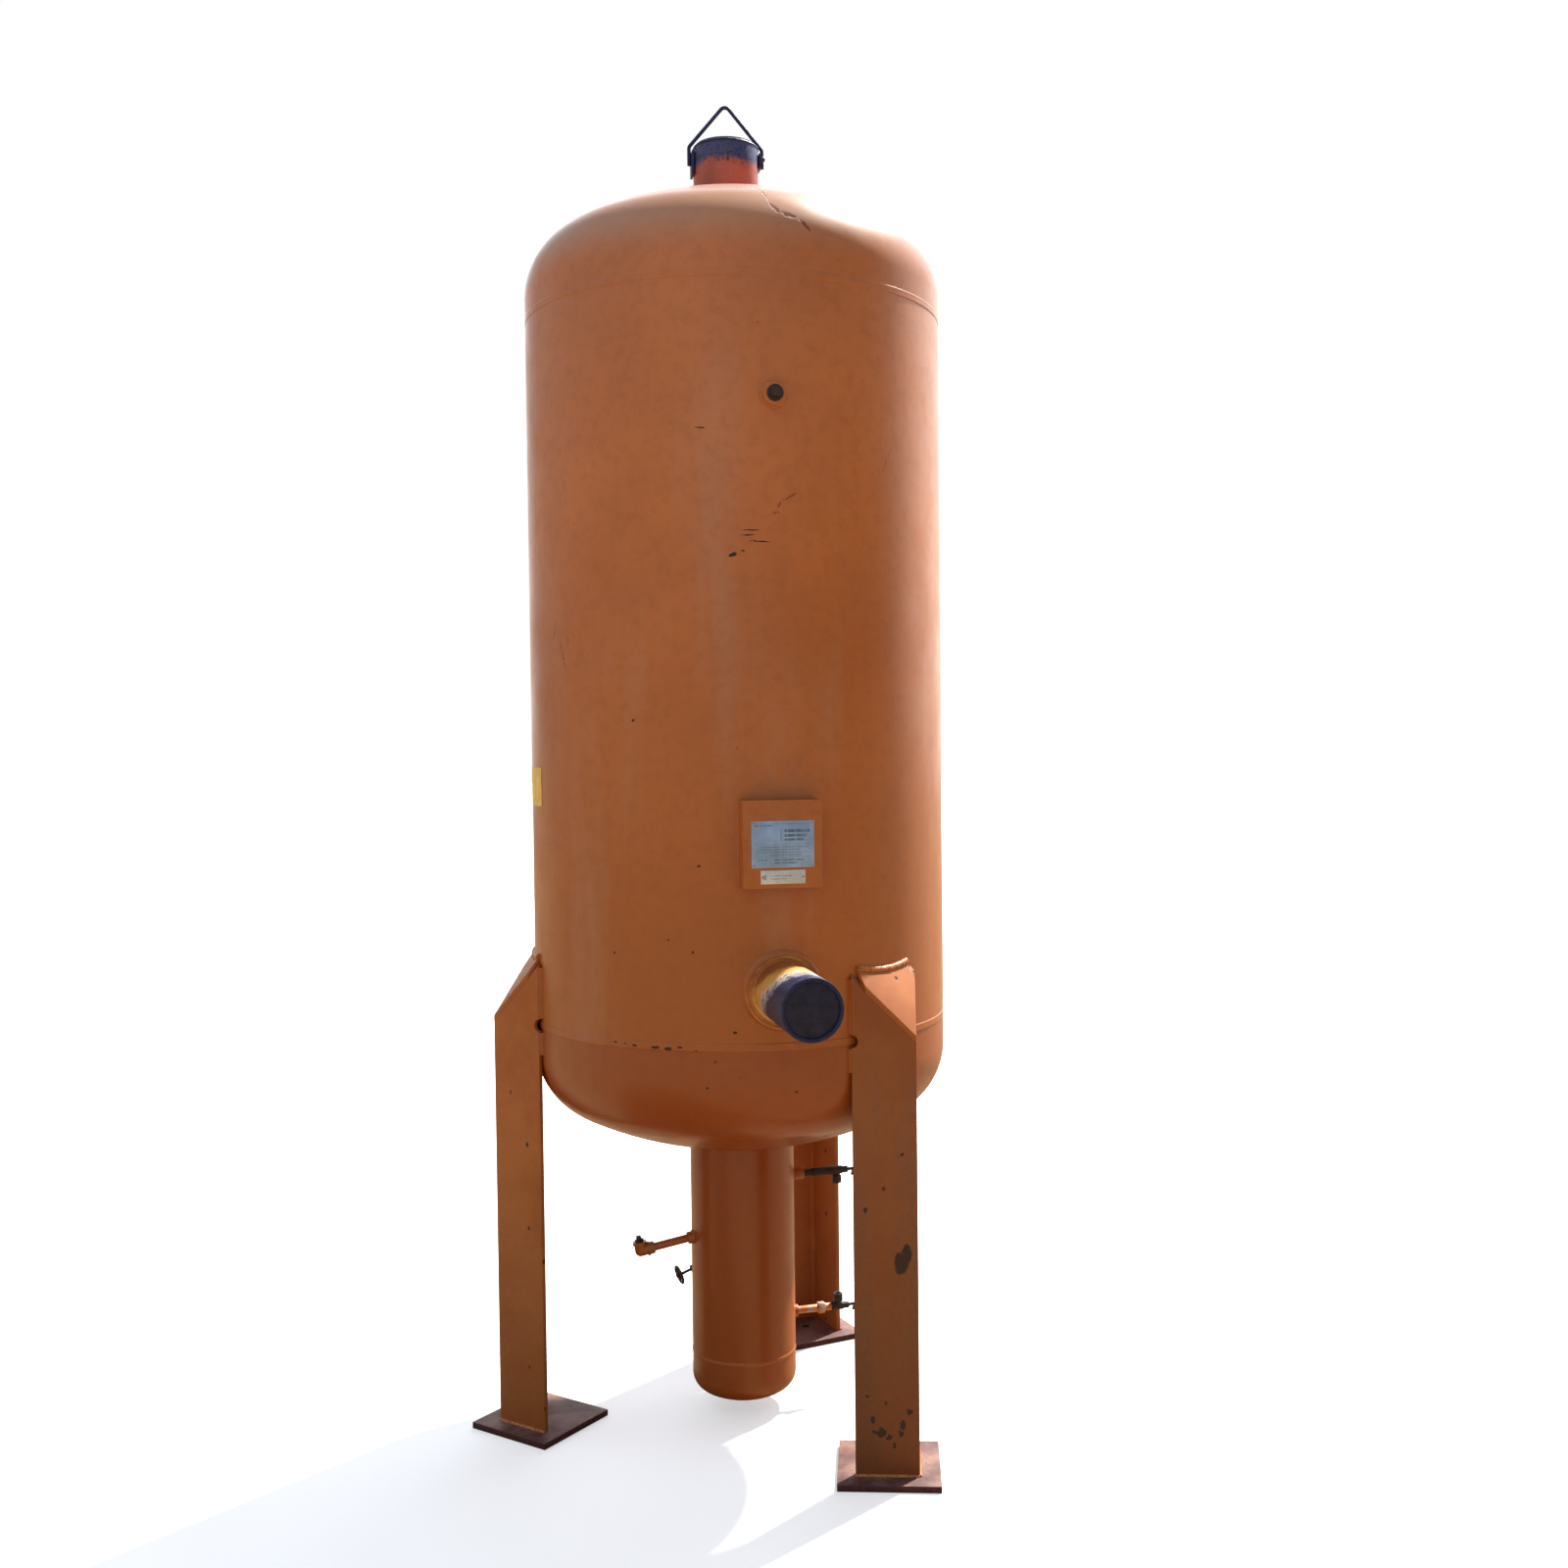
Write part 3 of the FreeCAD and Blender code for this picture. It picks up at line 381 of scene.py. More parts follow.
class Finish(Nodes):
    """A material whose shader is written as a short recipe."""
    family = "ShaderNode"

    def __init__(self, name, metallic=0.0, coat=0.0, specular=0.5):
        self.material = bpy.data.materials.new(name)
        self.material.use_nodes = True
        self.nodes, self.links = self.material.node_tree.nodes, self.material.node_tree.links
        self.shader = self.nodes["Principled BSDF"]
        self.shader.inputs["Metallic"].default_value = metallic
        self.shader.inputs["Coat Weight"].default_value = coat
        self.shader.inputs["Coat Roughness"].default_value = 0.16
        self.shader.inputs["Specular IOR Level"].default_value = specular
        self.place = self.nodes.new("ShaderNodeTexCoord").outputs["Object"]

    def noise(self, scale, detail=3.0, rough=0.55, stretch=(1, 1, 1), shift=(0, 0, 0)):
        mapped = self.node("Mapping", [("Vector", self.place), ("Scale", stretch),
                                       ("Location", shift)])
        made = self.node("TexNoise", [("Vector", mapped.outputs[0]), ("Scale", scale),
                                      ("Detail", detail), ("Roughness", rough)])
        return made.outputs[0]

    def cells(self, scale, stretch=(1, 1, 1)):
        """Distance to scattered points, and a random value for each of them."""
        mapped = self.node("Mapping", [("Vector", self.place), ("Scale", stretch)])
        made = self.node("TexVoronoi", [("Vector", mapped.outputs[0]), ("Scale", scale)])
        return made.outputs["Distance"], made.outputs["Color"]

    def math(self, operation, first, second=0.0):
        return self.node("Math", [(0, first), (1, second)], operation=operation).outputs[0]

    def ranged(self, value, low, high, to_low=0.0, to_high=1.0):
        """Smooth step from one value to another."""
        return self.node("MapRange", [("Value", value), ("From Min", low), ("From Max", high),
                                      ("To Min", to_low), ("To Max", to_high)],
                         interpolation_type="SMOOTHSTEP").outputs[0]

    def mix(self, amount, first, second):
        return self.node("Mix", [(0, amount), (6, first), (7, second)],
                         data_type="RGBA").outputs[2]

    def bump(self, height, distance, under=None, strength=1.0):
        links = [("Height", height), ("Distance", distance), ("Strength", strength)]
        if under is not None:
            links.append(("Normal", under))
        return self.node("Bump", links).outputs[0]

    def axis(self, direction, origin=(0, 0, 0)):
        """Distance of the surface along a direction from a point."""
        moved = self.node("VectorMath", [(0, self.place), (1, tuple(origin))],
                          operation="SUBTRACT").outputs[0]
        return self.node("VectorMath", [(0, moved), (1, tuple(direction))],
                         operation="DOT_PRODUCT").outputs["Value"]

    def upward(self):
        """How far the surface faces up, from -1 to 1."""
        normal = self.node("NewGeometry").outputs["Normal"]
        return self.node("SeparateXYZ", [(0, normal)]).outputs[2]

    def around(self, radius):
        """Surface place unrolled from a cylinder: arc length from +X, height, 0."""
        parts = self.node("SeparateXYZ", [(0, self.place)])
        turn = self.math("ARCTAN2", parts.outputs[1], parts.outputs[0])
        arc = self.math("MULTIPLY", turn, radius)
        return self.node("CombineXYZ", [(0, arc), (1, parts.outputs[2])]).outputs[0]

    def ragged(self, place, scale, reach):
        """The place pushed about by noise, for marks with torn edges."""
        wild = self.node("TexNoise", [("Vector", self.place), ("Scale", scale),
                                      ("Detail", 4.0)]).outputs["Color"]
        centred = self.node("VectorMath", [(0, wild), (1, (0.5, 0.5, 0.5))],
                            operation="SUBTRACT").outputs[0]
        scaled = self.node("VectorMath", [(0, centred), ("Scale", reach)],
                           operation="SCALE").outputs[0]
        return self.node("VectorMath", [(0, place), (1, scaled)], operation="ADD").outputs[0]

    def marks(self, place, spots):
        """Mask of elliptic marks, each (centre, half length, half width, tilt in degrees)."""
        mask = None
        for centre, half_length, half_width, tilt in spots:
            local = self.node("Mapping", [("Vector", place), ("Location", centre),
                                          ("Rotation", (0, 0, math.radians(tilt))),
                                          ("Scale", (half_length, half_width, 1.0))],
                              vector_type="TEXTURE").outputs[0]
            away = self.node("VectorMath", [(0, local)], operation="LENGTH").outputs["Value"]
            spot = self.ranged(away, 1.05, 0.75)
            mask = spot if mask is None else self.math("MAXIMUM", mask, spot)
        return mask

    def done(self, colour, roughness, normal=None):
        """Joins the recipe to the shader."""
        for name, value in (("Base Color", colour), ("Roughness", roughness)):
            self.put(self.shader.inputs[name], value)
        if normal is not None:
            self.links.new(normal, self.shader.inputs["Normal"])
        return self.material


def arc_spot(angle, z, half_length, half_width, tilt=0.0):
    """A mark on the shell, given by plan angle and height in metres, sizes in mm."""
    turn = math.radians(angle if angle <= 180 else angle - 360)
    return ((turn * SHELL_RADIUS, z, 0.0), half_length * MM, half_width * MM, tilt)


SHELL_CHIPS = [
    arc_spot(261.7, 2.478, 14, 1.5, -6),
    arc_spot(274.0, 2.2435, 20, 1.6), arc_spot(273.3, 2.232, 19, 1.4),
    arc_spot(276.2, 2.2175, 27, 1.5, -3), arc_spot(269.5, 2.1873, 11, 5, 20),
    arc_spot(272.0, 2.196, 5, 2.5), arc_spot(243.0, 1.811, 4, 4), arc_spot(260.1, 1.472, 3.5, 3.5),
    arc_spot(258.3, 1.2724, 3.5, 4), arc_spot(236.4, 1.2647, 3, 3), arc_spot(252.0, 1.30, 2.5, 2.5),
    arc_spot(236.4, 1.0530, 6, 2.5), arc_spot(239.3, 1.0515, 4, 2), arc_spot(242.2, 1.0492, 7, 3),
    arc_spot(248.1, 1.0480, 12, 3.5), arc_spot(251.5, 1.0460, 11, 4.5),
    arc_spot(254.6, 1.0503, 7, 2.5), arc_spot(258.8, 1.0440, 3, 2),
    arc_spot(268.6, 1.0861, 5, 3.5), arc_spot(263.6, 1.018, 3, 3), arc_spot(261.5, 0.957, 4, 3.5),
    arc_spot(284.0, 0.9416, 4, 3), arc_spot(30.0, 1.9, 9, 4, 30), arc_spot(120.0, 2.3, 24, 1.6, 12),
    arc_spot(118.0, 1.35, 6, 6), arc_spot(68.0, 1.72, 30, 1.6, -8), arc_spot(160.0, 1.5, 4, 4),
]
SHELL_SCUFFS = [
    arc_spot(281.0, 2.300, 24, 4, 48), arc_spot(284.2, 2.322, 20, 3, 30),
    arc_spot(280.2, 2.283, 16, 3, 15), arc_spot(313.4, 2.43, 44, 1.3, 62),
    arc_spot(214.5, 2.03, 30, 3, 70), arc_spot(218.6, 1.965, 46, 3.5, 108),
    arc_spot(221.0, 2.01, 20, 2.2, 80), arc_spot(100.0, 1.95, 60, 3, 75),
]
HEAD_SCRATCH = [
    ((0.0429, -0.3777), (0.0887, -0.4907), 2.2), ((0.0887, -0.4907), (0.113, -0.5003), 5.0),
    ((0.113, -0.5003), (0.1537, -0.4954), 3.0), ((0.1537, -0.4954), (0.185, -0.4955), 2.2),
]


def head_spots():
    """The crooked scratch down the top head, as marks in plan."""
    spots = []
    for start, end, half_width in HEAD_SCRATCH:
        run = Vector(end) - Vector(start)
        centre = (Vector(start) + Vector(end)) / 2
        spots.append(((centre.x, centre.y, 0.0), run.length / 2, half_width * MM,
                      math.degrees(math.atan2(run.y, run.x))))
    return spots


def enamel(name, base, deep, worn=0.3, dusty=0.0, faded=0.35, spots=(), scuffs=(),
           plan_spots=(), specks=0.5):
    """Glossy orange enamel: uneven colour, streaks, specks, chips and scuffs, with painted shade
    that darkens it towards the bottom of the vessel.
    """
    tints = colours()
    finish = Finish(name, coat=0.25)
    broad = finish.noise(1.7, 3)
    streak = finish.noise(5.5, 4, stretch=(1, 1, 0.16), shift=(3, 1, 0))
    mottle = finish.noise(34, 5, 0.6)
    colour = finish.mix(finish.ranged(broad, 0.35, 0.68, 0.2, 0.7), base, deep)
    height = finish.axis((0, 0, 1))
    # Painted shade: below 2.4 m the colour turns towards the deep tone, most at the bottom of the
    # vessel.
    painted_shade_low = finish.ranged(height, 2.4, 1.0, 0.0, 0.95)
    colour = finish.mix(painted_shade_low, colour, deep)
    bleached = finish.ranged(height, 2.0, 3.2, 0.0, faded * 0.6)
    colour = finish.mix(bleached, colour, tints.enamel_dust)
    colour = finish.mix(finish.ranged(streak, 0.5, 0.78, 0.0, faded), colour, tints.enamel_dust)
    colour = finish.mix(finish.ranged(mottle, 0.42, 0.72, 0.0, 0.18 + worn * 0.4), colour,
                        dim(deep, 0.72))
    if dusty:
        level = finish.ranged(finish.upward(), -0.05, 0.6, 0.0, dusty)
        colour = finish.mix(level, colour, tints.enamel_dust)
    away, random = finish.cells(16)
    chance = finish.node("SeparateColor", [(0, random)]).outputs[0]
    rare = finish.ranged(chance, 0.86, 0.9)
    speck = finish.math("MULTIPLY", finish.ranged(away, 0.06, 0.03), rare)
    speck = finish.math("MULTIPLY", speck, specks)
    colour = finish.mix(speck, colour, tints.rust)
    relief = finish.noise(420, 2)
    normal = finish.bump(relief, 0.12 * MM, strength=0.35)
    normal = finish.bump(finish.noise(60, 3), 0.3 * MM, normal, 0.25)
    rough = finish.ranged(finish.noise(9, 4, shift=(0, 7, 0)), 0.3, 0.8, 0.34, 0.5)
    chipped = speck
    torn = finish.ragged(finish.around(SHELL_RADIUS), 160, 5 * MM)
    if spots:
        mask = finish.marks(torn, spots)
        colour = finish.mix(mask, colour, tints.chip)
        chipped = finish.math("MAXIMUM", chipped, mask)
    if scuffs:
        mask = finish.math("MULTIPLY", finish.marks(torn, scuffs),
                           finish.ranged(finish.noise(130, 3), 0.38, 0.55))
        colour = finish.mix(finish.math("MULTIPLY", mask, 0.7), colour, tints.rust)
    if plan_spots:
        plan = finish.ragged(finish.node("VectorMath", [(0, finish.place), (1, (1, 1, 0))],
                                         operation="MULTIPLY").outputs[0], 110, 9 * MM)
        mask = finish.marks(plan, plan_spots)
        colour = finish.mix(finish.math("MULTIPLY", mask, 0.85), colour, tints.rust)
        chipped = finish.math("MAXIMUM", chipped, mask)
    rough = finish.mix(chipped, finish.node("CombineColor", [(0, rough), (1, rough), (2, rough)])
                       .outputs[0], (0.75, 0.75, 0.75))
    sunk = finish.math("SUBTRACT", 1.0, chipped)
    normal = finish.bump(sunk, 0.35 * MM, normal)
    return finish.done(colour, rough, normal)


def worn_edge(name, base, bare):
    """Edge of a painted piece, rubbed to dark metal here and there."""
    finish = Finish(name)
    rub = finish.noise(70, 5, 0.65)
    colour = finish.mix(finish.ranged(rub, 0.5, 0.62), base, bare)
    rough = finish.ranged(rub, 0.4, 0.7, 0.4, 0.7)
    return finish.done(colour, rough, finish.bump(rub, 0.3 * MM, strength=0.5))


def leg_enamel(name, worn, shade, spots=()):
    """Enamel of a leg: rubbed grey streaks, rust specks and chips at known places, with painted
    shade that darkens it towards the floor.
    """
    tints = colours()
    finish = Finish(name, coat=0.08)
    long_streak = finish.noise(13, 5, 0.6, stretch=(1, 1, 0.13))
    patch = finish.noise(5, 4, 0.6, shift=(2, 5, 1))
    grain = finish.noise(85, 5, 0.65)
    colour = finish.mix(finish.ranged(patch, 0.35, 0.7), tints.leg_enamel, tints.enamel_deep)
    rubbed = finish.math("MULTIPLY", finish.ranged(long_streak, 0.46, 0.66),
                         finish.ranged(grain, 0.3, 0.62))
    colour = finish.mix(finish.math("MULTIPLY", rubbed, worn), colour, tints.leg_worn)
    colour = finish.mix(finish.ranged(grain, 0.55, 0.8, 0.0, worn * 0.6), colour,
                        dim(tints.leg_enamel, 0.6))
    # Painted shade: shade sets how much the leg darkens from 1.15 m down to the floor, in uneven
    # patches.
    low = finish.ranged(finish.node("SeparateXYZ", [(0, finish.place)]).outputs[2], 1.15, 0.0,
                        shade[0], shade[1])
    darker = finish.mix(finish.ranged(patch, 0.3, 0.7), (0.26, 0.24, 0.24), (0.4, 0.34, 0.3))
    darker = finish.node("VectorMath", [(0, colour), (1, darker)],
                         operation="MULTIPLY").outputs[0]
    colour = finish.mix(low, colour, darker)
    away, random = finish.cells(24, stretch=(1, 1, 0.7))
    chance = finish.node("SeparateColor", [(0, random)]).outputs[0]
    low_down = finish.ranged(finish.node("SeparateXYZ", [(0, finish.place)]).outputs[2],
                             0.5, 0.05, 0.91, 0.72)
    rare = finish.math("GREATER_THAN", chance, low_down)
    speck = finish.math("MULTIPLY", finish.ranged(away, 0.15, 0.07), rare)
    colour = finish.mix(speck, colour, tints.chip)
    chipped = speck
    if spots:
        parts = finish.node("SeparateXYZ", [(0, finish.place)]).outputs
        front = finish.node("CombineXYZ", [(0, parts[0]), (1, parts[2])]).outputs[0]
        mask = finish.marks(finish.ragged(front, 70, 16 * MM), spots)
        colour = finish.mix(mask, colour, tints.chip)
        chipped = finish.math("MAXIMUM", chipped, mask)
    rough = finish.ranged(grain, 0.3, 0.7, 0.42, 0.62)
    normal = finish.bump(finish.noise(300, 3), 0.15 * MM, strength=0.5)
    normal = finish.bump(finish.math("SUBTRACT", 1.0, chipped), 0.5 * MM, normal)
    normal = finish.bump(finish.noise(18, 3), 1.2 * MM, normal, 0.2)
    return finish.done(colour, rough, normal)


def scorched_paint(name, direction, origin, paint, tone, scorch_from, scorch_to,
                   golden=None, lift=0.0):
    """Paint that was burnt towards a cut end: paint, gold and ash, then blue-black steel.
    The burn starts later by lift where the surface faces up."""
    tints = colours()
    finish = Finish(name)
    along = finish.axis(direction, origin)
    if lift:
        along = finish.math("SUBTRACT", along, finish.math("MULTIPLY", finish.upward(), lift))
    wander = finish.ranged(finish.noise(22, 5, 0.65), 0.25, 0.75, -0.5, 0.5)
    level = finish.math("ADD", along, finish.math("MULTIPLY", wander,
                                                  (scorch_to - scorch_from) * 0.9))
    ash = finish.noise(60, 5, 0.7)
    colour = finish.mix(finish.ranged(finish.noise(12, 4), 0.3, 0.7), paint, dim(paint, 0.7))
    if golden:
        colour = finish.mix(finish.ranged(level, golden[0], golden[1]), colour,
                            tints.burnt_gold)
    burnt = finish.ranged(level, scorch_from, scorch_to)
    steel = finish.mix(finish.ranged(ash, 0.35, 0.65), tone,
                       tuple(min(1, c * 2.2 + 0.02) for c in tone))
    colour = finish.mix(burnt, colour, steel)
    if golden:
        pale = finish.math("MULTIPLY", finish.ranged(level, scorch_from - 0.03, scorch_from),
                           finish.ranged(level, scorch_to + 0.03, scorch_to))
        pale = finish.math("MULTIPLY", pale, finish.ranged(ash, 0.36, 0.56))
        colour = finish.mix(finish.math("MULTIPLY", pale, 0.8), colour, tints.ash)
    rim = finish.math("MULTIPLY", finish.ranged(level, scorch_from - 0.012, scorch_from + 0.008),
                      finish.ranged(ash, 0.5, 0.62))
    colour = finish.mix(rim, colour, (0.03, 0.022, 0.02))
    rough = finish.ranged(ash, 0.3, 0.7, 0.35, 0.6)
    normal = finish.bump(finish.noise(240, 4), 0.25 * MM, strength=0.6)
    normal = finish.bump(ash, 0.6 * MM, normal, 0.4)
    return finish.done(colour, rough, normal)


def scorched_steel(name, tone):
    """Blue-black scale with a little ash."""
    finish = Finish(name, metallic=0.2)
    scale, dust = finish.noise(45, 6, 0.65), finish.noise(190, 4, 0.6)
    colour = finish.mix(finish.ranged(scale, 0.35, 0.7), tone, dim(tone, 0.6))
    colour = finish.mix(finish.ranged(dust, 0.6, 0.8, 0.0, 0.3), colour, (0.13, 0.13, 0.16))
    rough = finish.ranged(scale, 0.3, 0.7, 0.42, 0.66)
    return finish.done(colour, rough, finish.bump(scale, 0.5 * MM, finish.bump(dust, 0.2 * MM)))


def weld_metal(name, colour, dark, rough=0.38, metallic=0.0):
    """Weld bead under paint, or bare, darker in a fine random grain."""
    finish = Finish(name, metallic=metallic, coat=0.15 if metallic == 0 else 0.0)
    grain = finish.noise(140, 5, 0.65)
    tint = finish.mix(finish.ranged(grain, 0.4, 0.72), colour, dark)
    return finish.done(tint, finish.ranged(grain, 0.3, 0.7, rough, rough + 0.2),
                       finish.bump(grain, 0.35 * MM, strength=0.5))


def cast_iron(name):
    """Dark cast iron with dust in its grain."""
    tints = colours()
    finish = Finish(name, metallic=0.25)
    grain, stain = finish.noise(260, 4, 0.6), finish.noise(40, 5, 0.6)
    colour = finish.mix(finish.ranged(stain, 0.4, 0.7), tints.iron,
                        dim(tints.iron, 0.5))
    colour = finish.mix(finish.ranged(grain, 0.6, 0.8, 0.0, 0.5), colour, tints.rust)
    rough = finish.ranged(grain, 0.3, 0.7, 0.45, 0.7)
    return finish.done(colour, rough, finish.bump(grain, 0.25 * MM, strength=0.7))


def zinc(name):
    """Zinc-coated pipe with orange overspray."""
    tints = colours()
    finish = Finish(name, metallic=0.35)
    grain, spray = finish.noise(120, 4), finish.noise(30, 5, 0.6)
    colour = finish.mix(finish.ranged(spray, 0.38, 0.56), tints.zinc, tints.enamel)
    rough = finish.ranged(grain, 0.3, 0.7, 0.35, 0.55)
    return finish.done(colour, rough, finish.bump(grain, 0.2 * MM, strength=0.5))


def primer_plate(name):
    """Maroon primer with orange dust and overspray on its upper face."""
    tints = colours()
    finish = Finish(name)
    blotch, grain = finish.noise(9, 5, 0.6), finish.noise(150, 5, 0.65)
    colour = finish.mix(finish.ranged(grain, 0.35, 0.7), tints.primer,
                        dim(tints.primer, 0.6))
    dust = finish.math("MULTIPLY", finish.ranged(finish.upward(), 0.6, 0.95),
                       finish.ranged(blotch, 0.36, 0.62, 0.12, 0.8))
    dust = finish.math("MULTIPLY", dust, finish.ranged(grain, 0.25, 0.55))
    colour = finish.mix(dust, colour, tints.dust)
    rough = finish.ranged(grain, 0.3, 0.7, 0.55, 0.8)
    return finish.done(colour, rough, finish.bump(grain, 0.4 * MM, strength=0.6))


def printed_plate(name, base, centre, boxes):
    """Thin metal plate with plain bars for print: (left, right, low, high) from its centre."""
    finish = Finish(name, metallic=0.15)
    across = frame_at(FRONT_LINE_ANGLE).to_3x3() @ Vector((0, 1, 0))
    u, v = finish.axis(across, centre), finish.axis((0, 0, 1), centre)
    wear = finish.noise(90, 5, 0.65)
    print_mask = None
    for left, right, low, high in boxes:
        inside = finish.math("GREATER_THAN", u, left * MM)
        for test, place, edge in (("LESS_THAN", u, right), ("GREATER_THAN", v, low),
                                  ("LESS_THAN", v, high)):
            inside = finish.math("MULTIPLY", inside, finish.math(test, place, edge * MM))
        print_mask = inside if print_mask is None else finish.math("MAXIMUM", print_mask, inside)
    ticks = finish.node("TexWhiteNoise", [("W", finish.math(
        "FLOOR", finish.math("MULTIPLY", u, 420.0)))], noise_dimensions="1D").outputs["Value"]
    print_mask = finish.math("MULTIPLY", print_mask, finish.ranged(ticks, 0.2, 0.5, 0.35, 1.0))
    print_mask = finish.math("MULTIPLY", print_mask, finish.ranged(wear, 0.3, 0.5, 0.4, 0.85))
    colour = finish.mix(finish.ranged(finish.noise(25, 4), 0.35, 0.7), dim(base, 0.75), base)
    colour = finish.mix(print_mask, colour, dim(base, 0.22))
    rough = finish.ranged(wear, 0.3, 0.7, 0.3, 0.5)
    return finish.done(colour, rough, finish.bump(wear, 0.1 * MM, strength=0.4))


PLATE_PRINT = [(-66, 66, 46, 47), (-66, -22, 41, 44), (2, 62, 27, 34), (2, 56, 17, 23),
               (2, 50, 8, 13), (-6, -1, 6, 38), (-66, 66, 0, 0.8), (-60, 58, -7, -5),
               (-60, 40, -13, -11), (-60, 60, -19, -17), (-30, 44, -25, -23), (-66, 66, -29, -28),
               (-28, -27, -48, -29), (-60, -36, -37, -34), (-20, 50, -37, -34),
               (-20, 34, -44, -41), (30, 31, -48, -29)]
TAG_PRINT = [(-48, -38, -6, 6), (-30, 20, 2, 4), (-30, 8, -5, -3)]


def label_film(name):
    """Plain yellow film, faded in patches."""
    tints = colours()
    finish = Finish(name)
    fade = finish.noise(30, 4)
    colour = finish.mix(finish.ranged(fade, 0.4, 0.7), tints.label, tuple(
        min(1, c * 1.2 + 0.05) for c in tints.label))
    return finish.done(colour, 0.4, finish.bump(fade, 0.1 * MM, strength=0.3))


def pale_floor(name):
    """Pale floor; what it throws back on the vessel is toned down."""
    finish = Finish(name, specular=0.1)
    grain = finish.noise(2, 4)
    colour = finish.mix(finish.ranged(grain, 0.3, 0.7), (0.86, 0.86, 0.86), (0.9, 0.9, 0.9))
    seen = finish.node("LightPath").outputs["Is Camera Ray"]
    colour = finish.mix(seen, (0.26, 0.175, 0.1), colour)
    glow = finish.math("MULTIPLY", seen, 0.45)
    finish.shader.inputs["Emission Color"].default_value = (1, 1, 1, 1)
    finish.links.new(glow, finish.shader.inputs["Emission Strength"])
    return finish.done(colour, 0.8)


MATERIALS = {}


def material(key):
    """Each finish is made once, when a piece first asks for it."""
    if key not in MATERIALS:
        MATERIALS[key] = RECIPES[key]()
    return MATERIALS[key]


def dim(colour, share):
    return tuple(c * share for c in colour)


RIGHT_LEG_SPOTS = [
    ((x, z, 0.0), wide * MM, high * MM, 0) for x, z, wide, high in (
        (0.372, 0.525, 18, 30), (0.386, 0.548, 12, 24), (0.301, 0.150, 5, 8),
        (0.323, 0.120, 11, 13), (0.372, 0.140, 7, 14), (0.368, 0.118, 5, 8),
        (0.340, 0.108, 6, 8), (0.377, 0.784, 5, 5), (0.388, 0.172, 6, 6), (0.307, 0.120, 7, 5),
        (0.289, 0.205, 4, 5), (0.352, 0.090, 4, 7))
]

RECIPES = {
    "shell": lambda: enamel("shell_enamel", colours().enamel, colours().enamel_deep, worn=0.15,
                            spots=SHELL_CHIPS, scuffs=SHELL_SCUFFS),
    "head": lambda: enamel("head_enamel", colours().enamel, colours().enamel_deep, worn=0.2,
                           dusty=0.6, plan_spots=head_spots()),
    # The bottom head and sump get a darker copy of the enamel, as painted shade of the vessel's
    # underside.
    "lower": lambda: enamel("lower_enamel_shaded", colours().enamel_low_shaded, dim(colours().enamel_low_shaded, 0.8),
                            worn=0.15, faded=0.1, spots=SHELL_CHIPS[-11:]),
    "fitting": lambda: enamel("fitting_enamel", dim(colours().enamel, 0.95),
                              colours().enamel_deep, worn=0.5, specks=0.9),
    "edge": lambda: worn_edge("worn_enamel_edge", dim(colours().enamel_deep, 0.9),
                              dim(colours().rust, 0.6)),
    # Both leg enamels carry painted shade towards the floor; the right leg's copy is darker all
    # over as painted shade, and also more worn and chipped.
    "leg": lambda: leg_enamel("leg_enamel", 0.15, (0.0, 0.42)),
    "right_leg": lambda: leg_enamel("right_leg_shaded_enamel", 0.5, (0.45, 0.85), RIGHT_LEG_SPOTS),
    "leg_edge": lambda: worn_edge("worn_leg_edge", colours().leg_worn, colours().primer),
    "seam": lambda: enamel("seam_weld_enamel", dim(colours().enamel, 0.95),
                           colours().enamel_deep, worn=0.25, spots=SHELL_CHIPS),
    "leg_weld": lambda: weld_metal("leg_weld_enamel", dim(colours().enamel, 0.85),
                                   dim(colours().enamel_deep, 0.5), rough=0.32),
    "burnt_weld": lambda: weld_metal("burnt_weld", dim(colours().scorched, 0.8),
                                     dim(colours().scorched, 0.4), rough=0.4, metallic=0.4),
    "top_nozzle": lambda: scorched_paint(
        "top_nozzle_paint", (0, 0, 1), (0, 0, TOP_PIPE_END), colours().nozzle_red,
        colours().scorched,
        -0.055, -0.038),
    "side_nozzle": lambda: scorched_paint(
        "side_nozzle_paint", frame_at(SIDE_NOZZLE_ANGLE).to_3x3() @ Vector((1, 0, 0)),
        (0, 0, 0), colours().enamel_deep, dim(colours().scorched, 0.5),
        SHELL_RADIUS + 0.09, SHELL_RADIUS + 0.125,
        (SHELL_RADIUS - 0.01, SHELL_RADIUS + 0.04), lift=0.1),
    "scorched": lambda: scorched_steel("scorched_scale", colours().scorched),
    "side_cover": lambda: scorched_steel("side_cover_scale", dim(colours().scorched, 0.4)),
    "iron": lambda: cast_iron("valve_cast_iron"),
    "zinc": lambda: zinc("zinc_with_overspray"),
    "primer": lambda: primer_plate("dusty_primer"),
    "primer_edge": lambda: worn_edge("primer_edge", dim(colours().primer, 0.7),
                                     dim(colours().primer, 0.4)),
    "plate": lambda: printed_plate("nameplate_print", colours().plate,
                                   middle_of("nameplate"), PLATE_PRINT),
    "tag": lambda: printed_plate("tag_print", colours().tag, middle_of("data_tag"), TAG_PRINT),
    "label": lambda: label_film("yellow_label_film"),
    "floor": lambda: pale_floor("pale_floor"),
}


